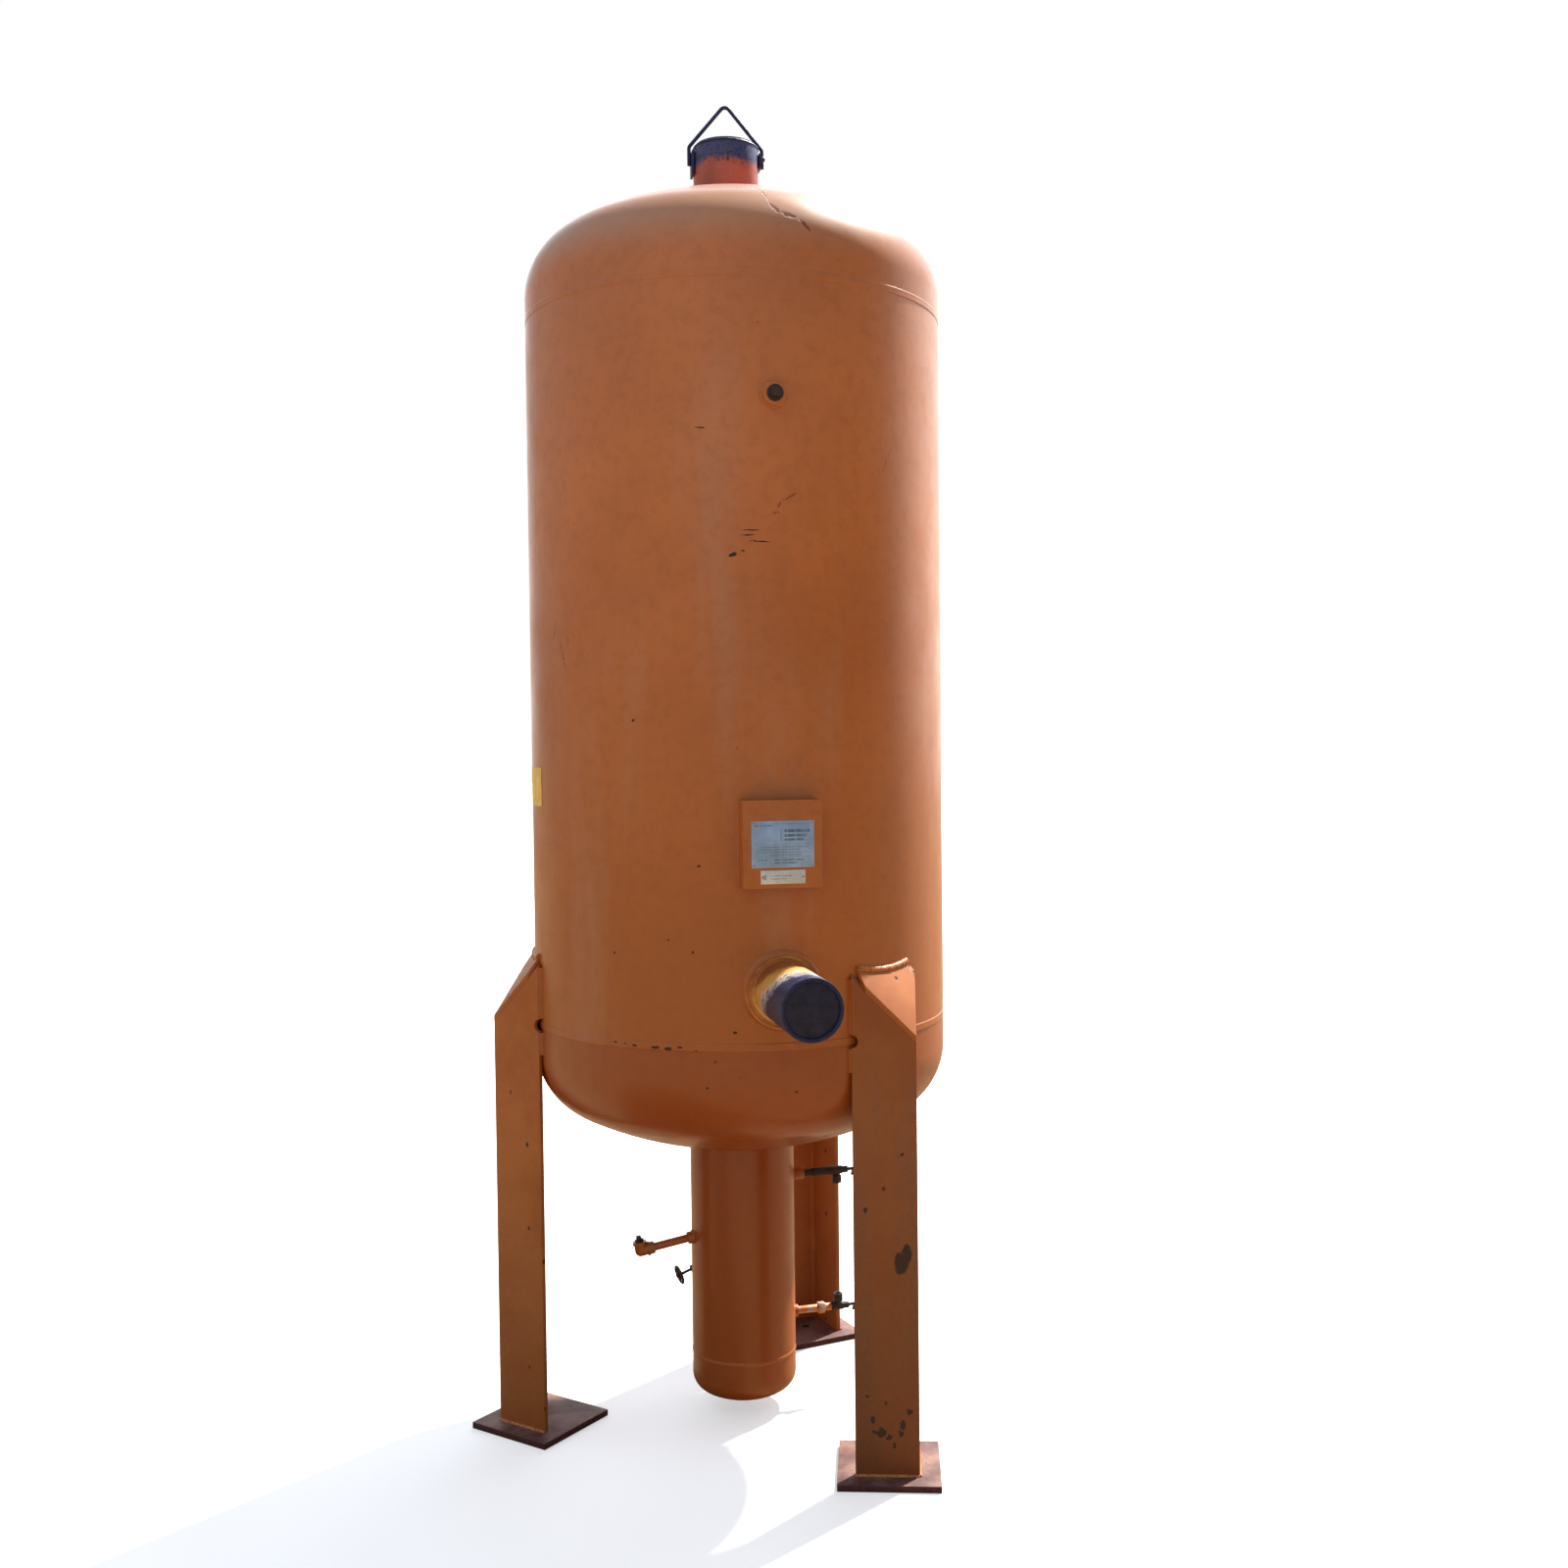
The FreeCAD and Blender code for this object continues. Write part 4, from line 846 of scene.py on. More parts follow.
# ---- geometry nodes
class Tree(Nodes):
    """A geometry node tree with named inputs."""

    def __init__(self, name, inputs):
        self.group = bpy.data.node_groups.new(name, "GeometryNodeTree")
        self.group.interface.new_socket("Geometry", in_out="INPUT",
                                        socket_type="NodeSocketGeometry")
        for label, kind, default in inputs:
            socket = self.group.interface.new_socket(label, in_out="INPUT",
                                                     socket_type="NodeSocket" + kind)
            if default is not None:
                socket.default_value = default
        self.group.interface.new_socket("Geometry", in_out="OUTPUT",
                                        socket_type="NodeSocketGeometry")
        self.nodes, self.links = self.group.nodes, self.group.links
        self.inputs = self.nodes.new("NodeGroupInput")
        self.output = self.nodes.new("NodeGroupOutput")

    def math(self, operation, first, second=0.0):
        return self.node("ShaderNodeMath", [(0, first), (1, second)],
                         operation=operation).outputs[0]

    def finish(self, geometry):
        """Ends the tree in real geometry with its material set."""
        real = self.node("GeometryNodeRealizeInstances", [(0, geometry)])
        painted = self.node("GeometryNodeSetMaterial", [
            (0, real.outputs[0]), ("Material", self.inputs.outputs["Material"])])
        self.group.links.new(painted.outputs[0], self.output.inputs[0])
        return self.group


def weld_bead_tree():
    """A rippled bead along edges; each point's outward attribute says where the bead's crown
    points. Width and Crown are half sizes of its section."""
    tree = Tree("Weld bead", [
        ("Half width", "Float", 0.005), ("Crown", "Float", 0.003), ("Ripple", "Float", 0.006),
        ("Depth", "Float", 0.0005), ("Unevenness", "Float", 0.0006), ("Bow", "Float", 0.6),
        ("Groove", "Float", 0.0),
        ("Seed", "Int", 1), ("Material", "Material", None)])
    given = tree.inputs.outputs
    line = tree.node("GeometryNodeMeshToCurve", [(0, given["Geometry"])])
    step = tree.math("DIVIDE", given["Ripple"], 4.0)
    even = tree.node("GeometryNodeResampleCurve", [(0, line.outputs[0]), ("Length", step)],
                     mode="LENGTH")
    outward = tree.node("GeometryNodeInputNamedAttribute", [("Name", "outward")],
                        data_type="FLOAT_VECTOR")
    turned = tree.node("GeometryNodeSetCurveNormal", [
        (0, even.outputs[0]), ("Normal", outward.outputs[0])], mode="FREE")
    along = tree.node("GeometryNodeSplineParameter")
    kept = tree.node("GeometryNodeCaptureAttribute", [(0, turned.outputs[0])])
    kept.capture_items.new("FLOAT", "Along")
    tree.group.links.new(along.outputs["Length"], kept.inputs["Along"])

    ring = tree.node("GeometryNodeCurvePrimitiveCircle", [("Resolution", 16), ("Radius", 1.0)])
    spot = tree.node("GeometryNodeInputPosition")
    parts = tree.node("ShaderNodeSeparateXYZ", [(0, spot.outputs[0])])
    across = tree.node("GeometryNodeCaptureAttribute", [(0, ring.outputs[0])])
    across.capture_items.new("FLOAT", "Across")
    tree.group.links.new(parts.outputs[1], across.inputs["Across"])
    side = across.outputs["Across"]
    middle = tree.math("SUBTRACT", 1.0, tree.math("MULTIPLY", side, side))
    hollow = tree.math("MULTIPLY", tree.math("MULTIPLY", middle, middle), given["Groove"])
    height = tree.math("MULTIPLY", parts.outputs[0], tree.math("SUBTRACT", 1.0, hollow))
    shaped = tree.node("ShaderNodeCombineXYZ", [(0, height), (1, parts.outputs[1])])
    formed = tree.node("GeometryNodeSetPosition", [(0, across.outputs[0]),
                                                   ("Position", shaped.outputs[0])])
    size = tree.node("ShaderNodeCombineXYZ", [(0, given["Crown"]), (1, given["Half width"]),
                                              (2, 1.0)])
    section = tree.node("GeometryNodeTransform", [(0, formed.outputs[0]),
                                                  ("Scale", size.outputs[0])])
    rope = tree.node("GeometryNodeCurveToMesh", [(0, kept.outputs[0]),
                                                 (1, section.outputs[0]), ("Fill Caps", True)])

    bowed = tree.math("MULTIPLY", tree.math("MULTIPLY", side, side), given["Bow"])
    count = tree.math("ADD", tree.math("DIVIDE", kept.outputs["Along"], given["Ripple"]), bowed)
    wave = tree.math("ABSOLUTE", tree.math("SINE", tree.math("MULTIPLY", count, math.pi)))
    ripple = tree.math("MULTIPLY", tree.math("SUBTRACT", wave, 0.6), given["Depth"])
    wild = tree.node("ShaderNodeTexNoise", [("Scale", 60.0), ("Detail", 2.0),
                                            ("W", given["Seed"])], noise_dimensions="4D")
    uneven = tree.math("MULTIPLY", tree.math("SUBTRACT", wild.outputs[0], 0.5),
                       tree.math("MULTIPLY", given["Unevenness"], 2.0))
    lift = tree.math("ADD", ripple, uneven)
    normal = tree.node("GeometryNodeInputNormal")
    push = tree.node("ShaderNodeVectorMath", [(0, normal.outputs[0]), ("Scale", lift)],
                     operation="SCALE")
    bead = tree.node("GeometryNodeSetPosition", [(0, rope.outputs[0]),
                                                 ("Offset", push.outputs[0])])
    smooth = tree.node("GeometryNodeSetShadeSmooth", [(0, bead.outputs[0])])
    return tree.finish(smooth.outputs[0])


def rivet_tree():
    """A low domed head on each point, turned to the point's outward attribute."""
    tree = Tree("Rivet heads", [("Radius", "Float", 0.003), ("Rise", "Float", 0.4),
                                ("Material", "Material", None)])
    given = tree.inputs.outputs
    ball = tree.node("GeometryNodeMeshUVSphere", [("Segments", 20), ("Rings", 12),
                                                  ("Radius", given["Radius"])])
    flat = tree.node("ShaderNodeCombineXYZ", [(0, 1.0), (1, 1.0), (2, given["Rise"])])
    low = tree.node("GeometryNodeTransform", [(0, ball.outputs[0]), ("Scale", flat.outputs[0])])
    outward = tree.node("GeometryNodeInputNamedAttribute", [("Name", "outward")],
                        data_type="FLOAT_VECTOR")
    turn = tree.node("FunctionNodeAlignRotationToVector", [("Vector", outward.outputs[0])],
                     axis="Z")
    heads = tree.node("GeometryNodeInstanceOnPoints", [
        (0, given["Geometry"]), ("Instance", low.outputs[0]), ("Rotation", turn.outputs[0])])
    return tree.finish(heads.outputs[0])


TREES = {}


def tree_named(key):
    if key not in TREES:
        TREES[key] = {"bead": weld_bead_tree, "rivets": rivet_tree}[key]()
    return TREES[key]


def grown(name, key, paths, values):
    """Runs a tree over paths of (point, outward) pairs and returns the plain mesh piece.
    A path's last item says whether it is closed."""
    points, edges, ways = [], [], []
    for path, closed in paths:
        first = len(points)
        points += [tuple(point) for point, _ in path]
        ways += [tuple(way) for _, way in path]
        edges += [(first + i, first + i + 1) for i in range(len(path) - 1)]
        if closed:
            edges.append((first + len(path) - 1, first))
    mesh = bpy.data.meshes.new(name + "_path")
    mesh.from_pydata(points, edges if key == "bead" else [], [])
    attribute = mesh.attributes.new("outward", "FLOAT_VECTOR", "POINT")
    attribute.data.foreach_set("vector", [c for way in ways for c in way])
    guide = new_object(name + "_guide", mesh)
    modifier = guide.modifiers.new("Nodes", "NODES")
    modifier.node_group = tree_named(key)
    sockets = {item.name: item.identifier for item in modifier.node_group.interface.items_tree
               if item.in_out == "INPUT"}
    for label, value in values.items():
        modifier[sockets[label]] = value
    result = bpy.data.meshes.new_from_object(
        guide.evaluated_get(bpy.context.evaluated_depsgraph_get()))
    result.name = name
    for extra in [a.name for a in result.attributes if a.name in ("outward", "Along", "Across")]:
        result.attributes.remove(result.attributes[extra])
    bpy.data.objects.remove(guide)
    bpy.data.meshes.remove(mesh)
    return new_object(name, result)


def beads(name, paths, half_width, crown, finish, seed, ripple=1.0, depth=1.0,
          uneven=0.6, groove=0.0):
    """Weld beads on the tank's body."""
    sizes = welds()
    piece = grown(name, "bead", paths, {
        "Half width": half_width, "Crown": crown, "Ripple": sizes.ripple * ripple,
        "Depth": sizes.ripple_depth * depth, "Unevenness": uneven * MM, "Seed": seed,
        "Groove": groove,
        "Material": material(finish)})
    return finished(piece, "tank", [material(finish)])


def level_ring(radius, z, outwards=1.0, upwards=0.0, steps=180, x=0.0):
    """Closed path round an upright axis."""
    path = []
    for step in range(steps):
        angle = 360 * step / steps
        way = on_cylinder(outwards, angle, upwards)
        path.append((on_cylinder(radius, angle, z) + Vector((x, 0, 0)), way.normalized()))
    return path, True


def branch_ring(angle, z, radius, lift, carrier=SHELL_RADIUS):
    """Closed path where a pipe of a radius leaves a cylinder, lifted off it a little."""
    place = frame_at(angle, z)
    turn = place.to_3x3()
    path = []
    for step in range(BRANCH_STEPS):
        around = 2 * math.pi * step / BRANCH_STEPS
        side, up = radius * math.cos(around), radius * math.sin(around)
        out = math.sqrt(max(carrier ** 2 - side ** 2, 0)) + lift
        way = Vector((0.7, math.cos(around) * 0.7, math.sin(around) * 0.7)).normalized()
        path.append((place @ Vector((out, side, up)), turn @ way))
    return path, True


def end_ring(angle, z, reach, radius, way_out):
    """Closed path round a branch at a distance from the vessel's axis."""
    place = frame_at(angle, z)
    turn = place.to_3x3()
    path = []
    for step in range(BRANCH_STEPS):
        around = 2 * math.pi * step / BRANCH_STEPS
        ring = Vector((0, math.cos(around), math.sin(around)))
        point = place @ (ring * radius + Vector((reach, 0, 0)))
        path.append((point, turn @ (ring + Vector((way_out, 0, 0))).normalized()))
    return path, True


def straight(start, end, way, steps=12):
    path = []
    for step in range(steps + 1):
        path.append((Vector(start).lerp(Vector(end), step / steps), Vector(way).normalized()))
    return path, False


# ---- operators
class VESSEL_OT_shell(bpy.types.Operator):
    """Rolled shell and pressed heads of the vessel"""
    bl_idname = "vessel.shell"
    bl_label = "Shell and heads"

    def execute(self, context):
        levels = [0, 6, 14, 24, 38, 58, 90, 140]
        low = [BOTTOM_SEAM + level * MM for level in levels]
        high = [TOP_SEAM - level * MM for level in reversed(levels)]
        rows = 34
        middle = [low[-1] + (high[0] - low[-1]) * row / rows for row in range(1, rows)]
        heights = low + middle + high
        inner = SHELL_RADIUS - SHELL_WALL
        outline = [(SHELL_RADIUS, z) for z in heights]
        outline += [(inner, TOP_SEAM), (inner, (TOP_SEAM + BOTTOM_SEAM) / 2), (inner, BOTTOM_SEAM)]
        shell = lathe("rolled_shell", outline, 288, rolled_wave)
        crisp(shell, 60)
        finished(shell, "tank", [material("shell")], ["shell"])
        for name, node, way, seam, finish in (
                ("pressed_top_head", "top_head", 1, TOP_SEAM, "head"),
                ("pressed_bottom_head", "bottom_head", -1, BOTTOM_SEAM, "lower")):
            flange = TOP_FLANGE if way > 0 else BOTTOM_FLANGE
            skin = dome_outline(SHELL_RADIUS, flange, 26)
            lining = dome_outline(SHELL_RADIUS, flange, 8, SHELL_WALL)
            outline = [(r, seam + way * rise) for r, rise in skin + lining[::-1]]
            head = lathe(name, outline, 288, rolled_wave)
            crisp(head, 60)
            finished(head, "tank", [material(finish)], [node])
        return {"FINISHED"}


class VESSEL_OT_sump(bpy.types.Operator):
    """Sump pipe under the bottom head, with its cap"""
    bl_idname = "vessel.sump"
    bl_label = "Sump"

    def execute(self, context):
        top = BOTTOM_SEAM - dome_rise(SHELL_RADIUS, BOTTOM_FLANGE, SUMP_RADIUS)
        rows = 14
        inner = SUMP_RADIUS - SUMP_WALL
        outline = [(SUMP_RADIUS, SUMP_SEAM + (top - SUMP_SEAM) * row / rows)
                   for row in range(rows + 1)]
        outline += [(inner, top), (inner, SUMP_SEAM)]
        pipe = lathe("sump_pipe_finished", outline, 160)
        crisp(pipe, 60)
        finished(pipe, "tank", [material("lower")], ["sump_pipe"])
        flange = SUMP_SEAM - SUMP_BOTTOM - dome_rise(SUMP_RADIUS, 0.0, 0.0)
        skin = dome_outline(SUMP_RADIUS, flange, 14)
        lining = dome_outline(SUMP_RADIUS, flange, 6, SUMP_WALL)
        outline = [(r, SUMP_SEAM - rise) for r, rise in skin + lining[::-1]]
        cap = lathe("sump_cap_finished", outline, 160)
        crisp(cap, 60)
        finished(cap, "tank", [material("lower")], ["sump_cap"])
        return {"FINISHED"}


class VESSEL_OT_seams(bpy.types.Operator):
    """Weld beads of the shell, heads and sump"""
    bl_idname = "vessel.seams"
    bl_label = "Seam welds"

    def execute(self, context):
        sizes = welds()
        half = sizes.seam_width / 2
        rings = [level_ring(SHELL_RADIUS - 1.2 * MM, seam, steps=360)
                 for seam in (BOTTOM_SEAM, TOP_SEAM)]
        beads("shell_seam_welds", rings, half, sizes.seam_crown, "seam", 3,
              depth=0.1, uneven=0.3, groove=0.5)
        ends = [on_cylinder(SHELL_RADIUS - 1 * MM, BACK_SEAM_ANGLE, z)
                for z in (BOTTOM_SEAM + 6 * MM, TOP_SEAM - 6 * MM)]
        beads("shell_back_seam_weld", [straight(*ends, on_cylinder(1, BACK_SEAM_ANGLE, 0), 60)],
              half * 0.85, sizes.seam_crown * 0.9, "seam", 5, depth=0.3)
        crown = dome_rise(SHELL_RADIUS, BOTTOM_FLANGE, SUMP_RADIUS)
        sump = [level_ring(SUMP_RADIUS, BOTTOM_SEAM - crown, 1.0, -0.8),
                level_ring(SUMP_RADIUS - 0.8 * MM, SUMP_SEAM)]
        beads("sump_top_weld", sump[:1], sizes.fillet, sizes.fillet * 0.8, "seam",
              7, uneven=0.8)
        beads("sump_cap_weld", sump[1:], half * 0.6, sizes.seam_crown * 0.7, "seam",
              8, depth=0.3, uneven=0.3)
        return {"FINISHED"}


class VESSEL_OT_nozzles(bpy.types.Operator):
    """Top and side nozzles, their covers, collar and welds"""
    bl_idname = "vessel.nozzles"
    bl_label = "Nozzles"

    def execute(self, context):
        sizes = welds()
        for node, finish, slot in (("top_nozzle", "top_nozzle", "nozzle_paint"),
                                   ("top_nozzle_cover", "scorched", "scorched_steel"),
                                   ("side_nozzle", "side_nozzle", "nozzle_paint"),
                                   ("side_nozzle_cover", "side_cover", "scorched_steel"),
                                   ("side_nozzle_collar", "side_nozzle", "nozzle_paint")):
            finished(refined(node, 0.9 * MM), "tank",
                     [material(finish), material(finish)], [node])
        rise = dome_rise(SHELL_RADIUS, TOP_FLANGE, NOZZLE_RADIUS)
        beads("top_nozzle_weld", [level_ring(NOZZLE_RADIUS, TOP_SEAM + rise, 1.0, 0.9, 90,
                                             NOZZLE_X)],
              sizes.fillet * 0.8, sizes.fillet * 0.6, "seam", 11, uneven=0.8)
        beads("top_cover_weld", [level_ring(NOZZLE_RADIUS - 3.4 * MM, TOP_PIPE_END + 1.5 * MM,
                                            0.7, 1.0, 90, NOZZLE_X)],
              sizes.fillet * 0.75, sizes.fillet * 0.55, "burnt_weld", 12,
              uneven=1.6)
        collar = branch_ring(SIDE_NOZZLE_ANGLE, SIDE_NOZZLE_Z, COLLAR_RADIUS, 3 * MM)
        beads("collar_weld", [collar], sizes.fillet * 1.3, sizes.fillet * 0.4, "seam",
              13, depth=0.1, uneven=0.3)
        pipe = branch_ring(SIDE_NOZZLE_ANGLE, SIDE_NOZZLE_Z, SIDE_NOZZLE_RADIUS,
                           COLLAR_THICKNESS + 1 * MM)
        beads("side_nozzle_weld", [pipe], sizes.fillet * 1.1, sizes.fillet * 0.7,
              "side_nozzle", 14, depth=0.2, uneven=0.6)
        cover = end_ring(SIDE_NOZZLE_ANGLE, SIDE_NOZZLE_Z, SIDE_NOZZLE_END - 1.6 * MM,
                         SIDE_COVER_RADIUS + 1.2 * MM, way_out=2.0)
        beads("side_cover_weld", [cover], sizes.fillet * 0.6, sizes.fillet * 0.4, "burnt_weld",
              15, uneven=1.4)
        return {"FINISHED"}


class VESSEL_OT_bail(bpy.types.Operator):
    """Lifting bail, its straps and stud"""
    bl_idname = "vessel.bail"
    bl_label = "Lifting bail"

    def execute(self, context):
        for node in ("bail_strap_left", "bail_strap_right", "bail_stud", "lifting_bail"):
            finished(refined(node, 0.6 * MM), "tank",
                     [material("scorched"), material("scorched")], [node])
        return {"FINISHED"}


class VESSEL_OT_coupling(bpy.types.Operator):
    """Upper coupling and its square-headed plug"""
    bl_idname = "vessel.coupling"
    bl_label = "Upper coupling"

    def execute(self, context):
        sizes = welds()
        finished(refined("upper_coupling", 1.2 * MM), "tank",
                 [material("fitting"), material("edge")], ["upper_coupling"])
        finished(refined("upper_plug", 1.4 * MM), "tank",
                 [material("iron"), material("iron")], ["upper_plug"])
        ring = branch_ring(FRONT_LINE_ANGLE, COUPLING_Z, COUPLING_RADIUS, 1 * MM)
        beads("upper_coupling_weld", [ring], sizes.small_fillet * 1.3, sizes.small_fillet * 1.1,
              "seam", 21)
        return {"FINISHED"}


class VESSEL_OT_nameplate(bpy.types.Operator):
    """Nameplate bracket, plate, tag, rivets and a plain label"""
    bl_idname = "vessel.nameplate"
    bl_label = "Nameplate"

    def execute(self, context):
        sizes = welds()
        finished(refined("nameplate_bracket", 1.3 * MM, 3), "tank",
                 [material("fitting"), material("edge")], ["nameplate_bracket"])
        for node, finish in (("nameplate", "plate"), ("data_tag", "tag")):
            finished(refined(node, 0.2 * MM), "tank",
                     [material(finish), material(finish)], [node])
        place = frame_at(FRONT_LINE_ANGLE, BRACKET_Z)
        outward = place.to_3x3() @ Vector((1, 0, 0))
        heads = []
        tag_z = (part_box("data_tag")[0].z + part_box("data_tag")[1].z) / 2 - BRACKET_Z
        for side in (-1, 1):
            for level in (-1, 1):
                heads.append((place @ Vector((BRACKET_FACE + 1.2 * MM, side * 68 * MM,
                                              level * 48.5 * MM)), outward))
            heads.append((place @ Vector((BRACKET_FACE + 0.8 * MM, side * 47 * MM, tag_z)),
                          outward))
        rivets = grown("plate_rivets", "rivets", [(heads, False)], {
            "Radius": 2.6 * MM, "Rise": 0.55, "Material": material("zinc")})
        finished(rivets, "tank", [material("zinc")])
        half = BRACKET_WIDTH / 2
        out = math.sqrt(SHELL_RADIUS ** 2 - half ** 2)
        sides = [straight(place @ Vector((out, side * half, -BRACKET_HEIGHT / 2)),
                          place @ Vector((out, side * half, BRACKET_HEIGHT / 2)),
                          place.to_3x3() @ Vector((0.6, side, 0)), 20) for side in (-1, 1)]
        beads("bracket_welds", sides, sizes.small_fillet, sizes.small_fillet, "seam",
              22)
        label = sheet_on_cylinder("plain_yellow_label", SHELL_RADIUS + 0.3 * MM, 0.5 * MM,
                                  196.0, 1.65, 150 * MM, 96 * MM)
        finished(label, "tank", [material("label")])
        return {"FINISHED"}


def leg_root(edge):
    """The concave corner between a leg's flanges."""
    if len(edge.link_faces) != 2 or edge.calc_length() < 0.5 or edge.is_convex:
        return False
    return edge.calc_face_angle(0) > math.radians(60)


class VESSEL_OT_legs(bpy.types.Operator):
    """Angle legs, their sloping caps, base plates and welds"""
    bl_idname = "vessel.legs"
    bl_label = "Legs"

    def execute(self, context):
        sizes = welds()
        paths, toes, tops = [], [], []
        for side, angle in LEG_ANGLES.items():
            # The right leg takes the darker, more worn copy of the leg enamel; its extra darkness
            # is painted shade.
            paint = "right_leg" if side == "right" else "leg"
            finished(refined("leg_" + side, 1.8 * MM, 3, [(leg_root, 11 * MM)]), "tank",
                     [material(paint), material("leg_edge")], ["leg_" + side])
            finished(refined("leg_cap_" + side, 1.2 * MM), "tank",
                     [material("leg"), material("edge")], ["leg_cap_" + side])
            finished(refined("base_plate_" + side, 1.2 * MM), "tank",
                     [material("primer"), material("primer_edge")], ["base_plate_" + side])
            paths += self.foot_paths(angle)
            toes += self.toe_paths(angle)
            tops.append(self.cap_path(angle))
        beads("leg_toe_welds", toes, sizes.leg_fillet * 2.0, sizes.leg_fillet * 0.5, "seam",
              31, depth=0.1, uneven=0.3)
        beads("leg_foot_welds", paths, sizes.leg_fillet, sizes.leg_fillet * 0.85, "leg_weld",
              32)
        beads("leg_cap_welds", tops, sizes.leg_fillet * 1.5, sizes.leg_fillet * 1.2, "leg_weld",
              33, ripple=1.6, depth=2.2, uneven=2.2)
        return {"FINISHED"}

    def foot_paths(self, angle):
        """Beads round the foot of one leg."""
        place = frame_at(angle)
        turn = place.to_3x3()
        reach = LEG_FLANGE / math.sqrt(2)
        paths = []
        for way in (-1, 1):
            foot = [place @ Vector((LEG_HEEL_RADIUS, 0, PLATE_TOP)),
                    place @ Vector((LEG_HEEL_RADIUS - reach, way * reach, PLATE_TOP))]
            paths.append(straight(*foot, turn @ Vector((1, way, 1.4)), 10))
        return paths

    def toe_paths(self, angle):
        """Beads that fill the corner between one leg's toes and the shell."""
        place = frame_at(angle)
        turn = place.to_3x3()
        reach = LEG_FLANGE / math.sqrt(2)
        out = LEG_HEEL_RADIUS - reach - 6.5 * MM
        gap = LEG_NOTCH_RADIUS + 3 * MM
        spans = ((BOTTOM_SEAM + gap, BOTTOM_SEAM + LEG_TOE_RISE - 2 * MM),
                 (BOTTOM_SEAM - BOTTOM_FLANGE * 0.95, BOTTOM_SEAM - gap))
        paths = []
        for way in (-1, 1):
            for low, high in spans:
                ends = [place @ Vector((out, way * (reach - 2 * MM), z)) for z in (low, high)]
                paths.append(straight(*ends, turn @ Vector((0.25, way, 0)), 12))
        return paths

    def cap_path(self, angle):
        """Uneven bead where one leg's sloping cap meets the shell."""
        place = frame_at(angle)
        turn = place.to_3x3()
        reach = LEG_FLANGE / math.sqrt(2)
        steep = (LEG_TOE_RISE - LEG_HEEL_RISE) / reach
        lift = LEG_CAP_THICKNESS * math.sqrt(1 + steep ** 2)
        path, steps = [], 40
        for step in range(steps + 1):
            side = (reach - LEG_CAP_TRIM) * (2 * step / steps - 1)
            out = math.sqrt(SHELL_RADIUS ** 2 - side ** 2)
            z = BOTTOM_SEAM + LEG_HEEL_RISE + lift + (LEG_HEEL_RADIUS - out) * steep
            spread = side / SHELL_RADIUS
            path.append((place @ Vector((out + 2 * MM, side, z - 2 * MM)),
                         (turn @ Vector((1, spread, 0.9))).normalized()))
        return path, False


class VESSEL_OT_gauge_valves(bpy.types.Operator):
    """Level gauge valves on the sump"""
    bl_idname = "vessel.gauge_valves"
    bl_label = "Gauge valves"

    def execute(self, context):
        sizes = welds()
        for level in ("upper", "lower"):
            pipe = "iron" if level == "upper" else "zinc"
            slot = "valve_iron" if level == "upper" else "galvanised_steel"
            rows = [(level + "_gauge_coupling", "fitting", "tank_paint", "tank"),
                    (level + "_gauge_nipple", pipe, slot, "tank"),
                    (level + "_gauge_valve", "iron", "valve_iron", "tank"),
                    (level + "_glass_nut", "iron", "valve_iron", "tank"),
                    (level + "_gauge_handle", "iron", "valve_iron", level + "_handle")]
            if level == "lower":
                rows.append(("lower_gauge_union", "zinc", slot, "tank"))
            for node, finish, node_slot, body in rows:
                finished(refined(node, 0.5 * MM), body,
                         [material(finish), material(finish)], [node])
        rings = [branch_ring(GAUGE_ANGLE, z, SMALL_COUPLING_RADIUS, 1 * MM,
                             carrier=SUMP_RADIUS) for z in GAUGE_HEIGHTS.values()]
        beads("gauge_coupling_welds", rings, sizes.small_fillet, sizes.small_fillet * 0.8,
              "seam", 41)
        return {"FINISHED"}


class VESSEL_OT_drain(bpy.types.Operator):
    """Sloping drain pipe, and the drain valve behind the sump"""
    bl_idname = "vessel.drain"
    bl_label = "Drain"

    def execute(self, context):
        sizes = welds()
        rows = [("drain_pipe_coupling", "fitting", "tank_paint", "tank"),
                ("drain_pipe", "fitting", "tank_paint", "tank"),
                ("drain_pipe_union", "fitting", "tank_paint", "tank"),
                ("drain_elbow", "fitting", "tank_paint", "tank"),
                ("drain_elbow_plug", "iron", "valve_iron", "tank"),
                ("drain_valve_nipple", "fitting", "tank_paint", "tank"),
                ("drain_valve_body", "iron", "valve_iron", "tank"),
                ("drain_valve_bonnet", "iron", "valve_iron", "tank"),
                ("drain_valve_stem", "iron", "valve_iron", "drain_wheel"),
                ("drain_handwheel", "iron", "valve_iron", "drain_wheel")]
        for node, finish, slot, body in rows:
            second = "edge" if finish == "fitting" else finish
            finished(refined(node, 0.5 * MM), body, [material(finish), material(second)],
                     [node])
        rings = [branch_ring(DRAIN_PIPE_ANGLE, DRAIN_PIPE_Z, SMALL_COUPLING_RADIUS, 1 * MM,
                             carrier=SUMP_RADIUS),
                 branch_ring(DRAIN_VALVE_ANGLE, DRAIN_VALVE_Z, DRAIN_NIPPLE_RADIUS, 1 * MM,
                             carrier=SUMP_RADIUS)]
        beads("drain_coupling_welds", rings, sizes.small_fillet, sizes.small_fillet * 0.8,
              "seam", 42)
        return {"FINISHED"}


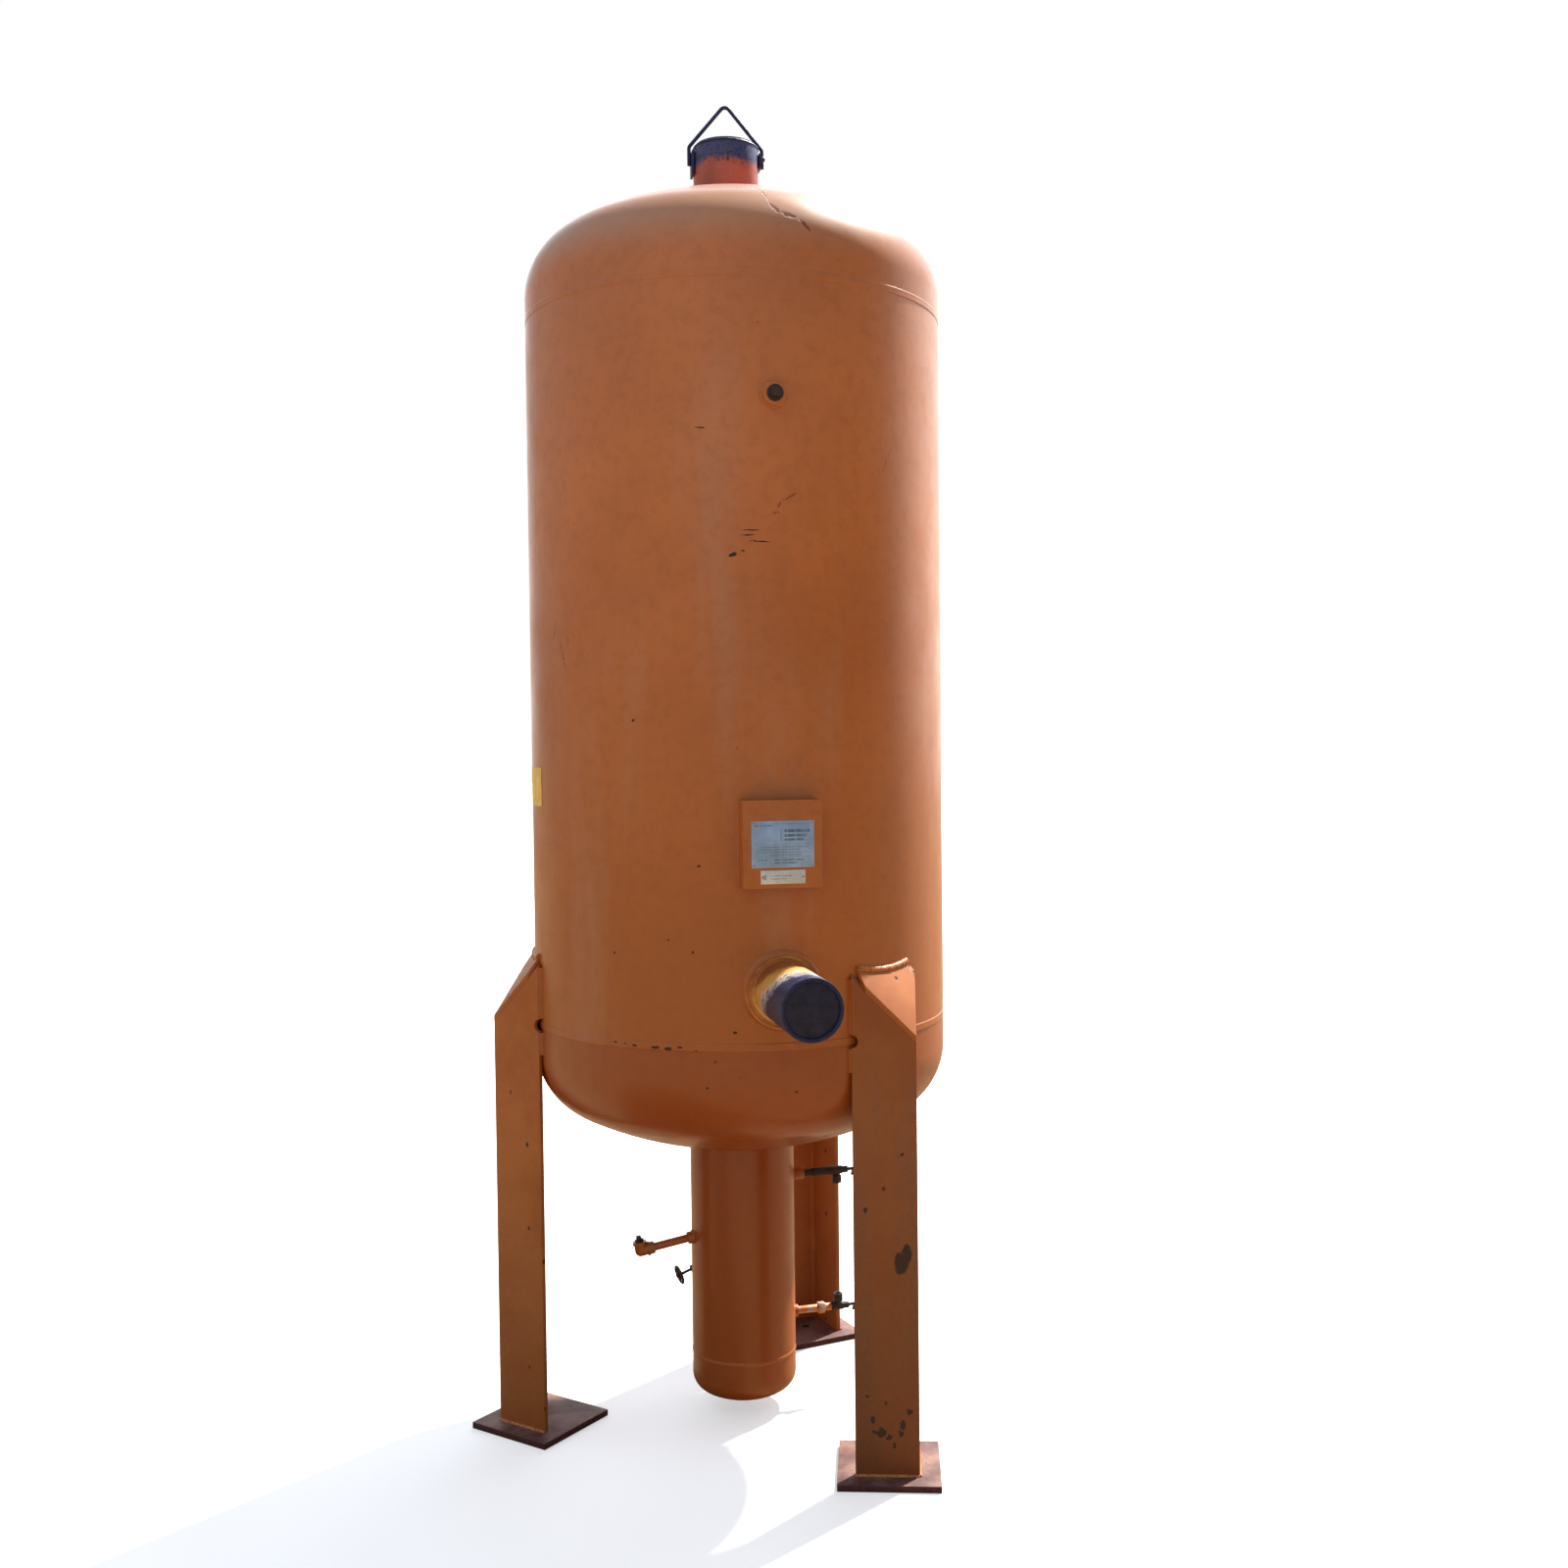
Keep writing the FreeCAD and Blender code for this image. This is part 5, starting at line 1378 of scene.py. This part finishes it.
class VESSEL_OT_stage(bpy.types.Operator):
    """Pale floor, soft sky, sun and the camera"""
    bl_idname = "vessel.stage"
    bl_label = "Stage"

    def execute(self, context):
        stage = context.scene.vessel_stage
        self.floor()
        self.sky(context.scene, stage)
        sun = bpy.data.lights.new("sun", "SUN")
        sun.energy, sun.angle, sun.color = stage.sun_power, math.radians(3), (1, 0.95, 0.88)
        lamp = new_object("sun", sun)
        way = frame_at(math.degrees(stage.sun_angle)).to_3x3() @ Vector(
            (math.cos(stage.sun_height), 0, math.sin(stage.sun_height)))
        lamp.rotation_euler = way.to_track_quat("Z", "Y").to_euler()
        self.camera(context.scene, stage)
        context.scene.view_settings.view_transform = "Standard"
        return {"FINISHED"}

    def floor(self):
        half, drop = 60.0, 0.5 * MM
        floor = mesh_piece("pale_floor", [(-half, -half, -drop), (half, -half, -drop),
                                          (half, half, -drop), (-half, half, -drop)],
                           [(0, 1, 2, 3)], False)
        floor.data.materials.append(material("floor"))

    def sky(self, scene, stage):
        """Soft white sky, brighter behind the vessel than behind the camera."""
        world = bpy.data.worlds.new("studio_sky")
        scene.world = world
        world.use_nodes = True
        nodes, links = world.node_tree.nodes, world.node_tree.links
        way = nodes.new("ShaderNodeTexCoord")
        height = nodes.new("ShaderNodeSeparateXYZ")
        links.new(way.outputs[0], height.inputs[0])
        parts = []
        for axis, ramp in (((-0.8, -0.6, 0), (-0.7, 0.7, stage.sky_right, stage.sky_left)),
                           ((0.42, 0.907, 0), (0.3, 0.9, 0.0, stage.sky_back))):
            along = nodes.new("ShaderNodeVectorMath")
            along.operation = "DOT_PRODUCT"
            along.inputs[1].default_value = axis
            links.new(way.outputs[0], along.inputs[0])
            part = self.ramp(nodes, *ramp)
            links.new(along.outputs["Value"], part.inputs["Value"])
            parts.append(part.outputs[0])
        depth = nodes.new("ShaderNodeMath")
        links.new(parts[0], depth.inputs[0])
        links.new(parts[1], depth.inputs[1])
        rise = self.ramp(nodes, -0.05, 0.75, 0.0, 1.0)
        links.new(height.outputs[2], rise.inputs["Value"])
        tint = nodes.new("ShaderNodeMix")
        tint.data_type = "RGBA"
        links.new(rise.outputs[0], tint.inputs[0])
        tint.inputs[6].default_value = (0.94, 0.88, 0.8, 1)
        tint.inputs[7].default_value = (0.92, 1.06, 1.25, 1)
        light = nodes.new("ShaderNodeBackground")
        links.new(tint.outputs[2], light.inputs["Color"])
        links.new(depth.outputs[0], light.inputs["Strength"])
        seen = nodes.new("ShaderNodeBackground")
        seen.inputs["Color"].default_value = (1, 1, 1, 1)
        choice = nodes.new("ShaderNodeMixShader")
        links.new(nodes.new("ShaderNodeLightPath").outputs["Is Camera Ray"], choice.inputs[0])
        links.new(light.outputs[0], choice.inputs[1])
        links.new(seen.outputs[0], choice.inputs[2])
        links.new(choice.outputs[0], nodes["World Output"].inputs["Surface"])

    def ramp(self, nodes, low, high, to_low, to_high):
        made = nodes.new("ShaderNodeMapRange")
        made.interpolation_type = "SMOOTHSTEP"
        for key, value in (("From Min", low), ("From Max", high), ("To Min", to_low),
                           ("To Max", to_high)):
            made.inputs[key].default_value = value
        return made

    def camera(self, scene, stage):
        data = bpy.data.cameras.new("camera")
        data.lens, data.sensor_width = stage.lens, 36.0
        data.clip_start, data.clip_end = 0.05, 300.0
        camera = new_object("camera", data)
        ahead = Matrix.Rotation(-stage.turn, 3, "Z") @ Vector((0, 1, 0))
        right = Matrix.Rotation(-stage.turn, 3, "Z") @ Vector((1, 0, 0))
        tip = Matrix.Rotation(-stage.dip, 3, right)
        ahead, up = tip @ ahead, tip @ Vector((0, 0, 1))
        roll = Matrix.Rotation(stage.lean, 3, ahead)
        right, up = roll @ right, roll @ up
        turn = Matrix((right, up, -ahead)).transposed()
        camera.matrix_world = Matrix.Translation(stage.eye) @ turn.to_4x4()
        scene.camera = camera


OPERATORS = (VESSEL_OT_shell, VESSEL_OT_sump, VESSEL_OT_seams, VESSEL_OT_nozzles,
             VESSEL_OT_bail, VESSEL_OT_coupling, VESSEL_OT_nameplate, VESSEL_OT_legs,
             VESSEL_OT_gauge_valves, VESSEL_OT_drain, VESSEL_OT_stage)
GROUPS = {"vessel_welds": VesselWelds, "vessel_colours": VesselColours,
          "vessel_stage": VesselStage}


class VESSEL_PT_finish(bpy.types.Panel):
    """Lists the vessel's pieces and their settings"""
    bl_idname = "VESSEL_PT_finish"
    bl_label = "Vessel"
    bl_space_type = "VIEW_3D"
    bl_region_type = "UI"
    bl_category = "Vessel"

    def draw(self, context):
        for name, group in GROUPS.items():
            box = self.layout.box()
            for key in group.__annotations__:
                box.prop(getattr(context.scene, name), key)
        for operator in OPERATORS:
            self.layout.operator(operator.bl_idname)


CLASSES = (*GROUPS.values(), *OPERATORS, VESSEL_PT_finish)


def register():
    for cls in CLASSES:
        bpy.utils.register_class(cls)
    for name, group in GROUPS.items():
        setattr(bpy.types.Scene, name, bpy.props.PointerProperty(type=group))


def unregister():
    for name in GROUPS:
        delattr(bpy.types.Scene, name)
    for cls in reversed(CLASSES):
        bpy.utils.unregister_class(cls)


def main():
    register()
    for operator in OPERATORS:
        area, name = operator.bl_idname.split(".")
        getattr(getattr(bpy.ops, area), name)()


if __name__ == "__main__":
    main()
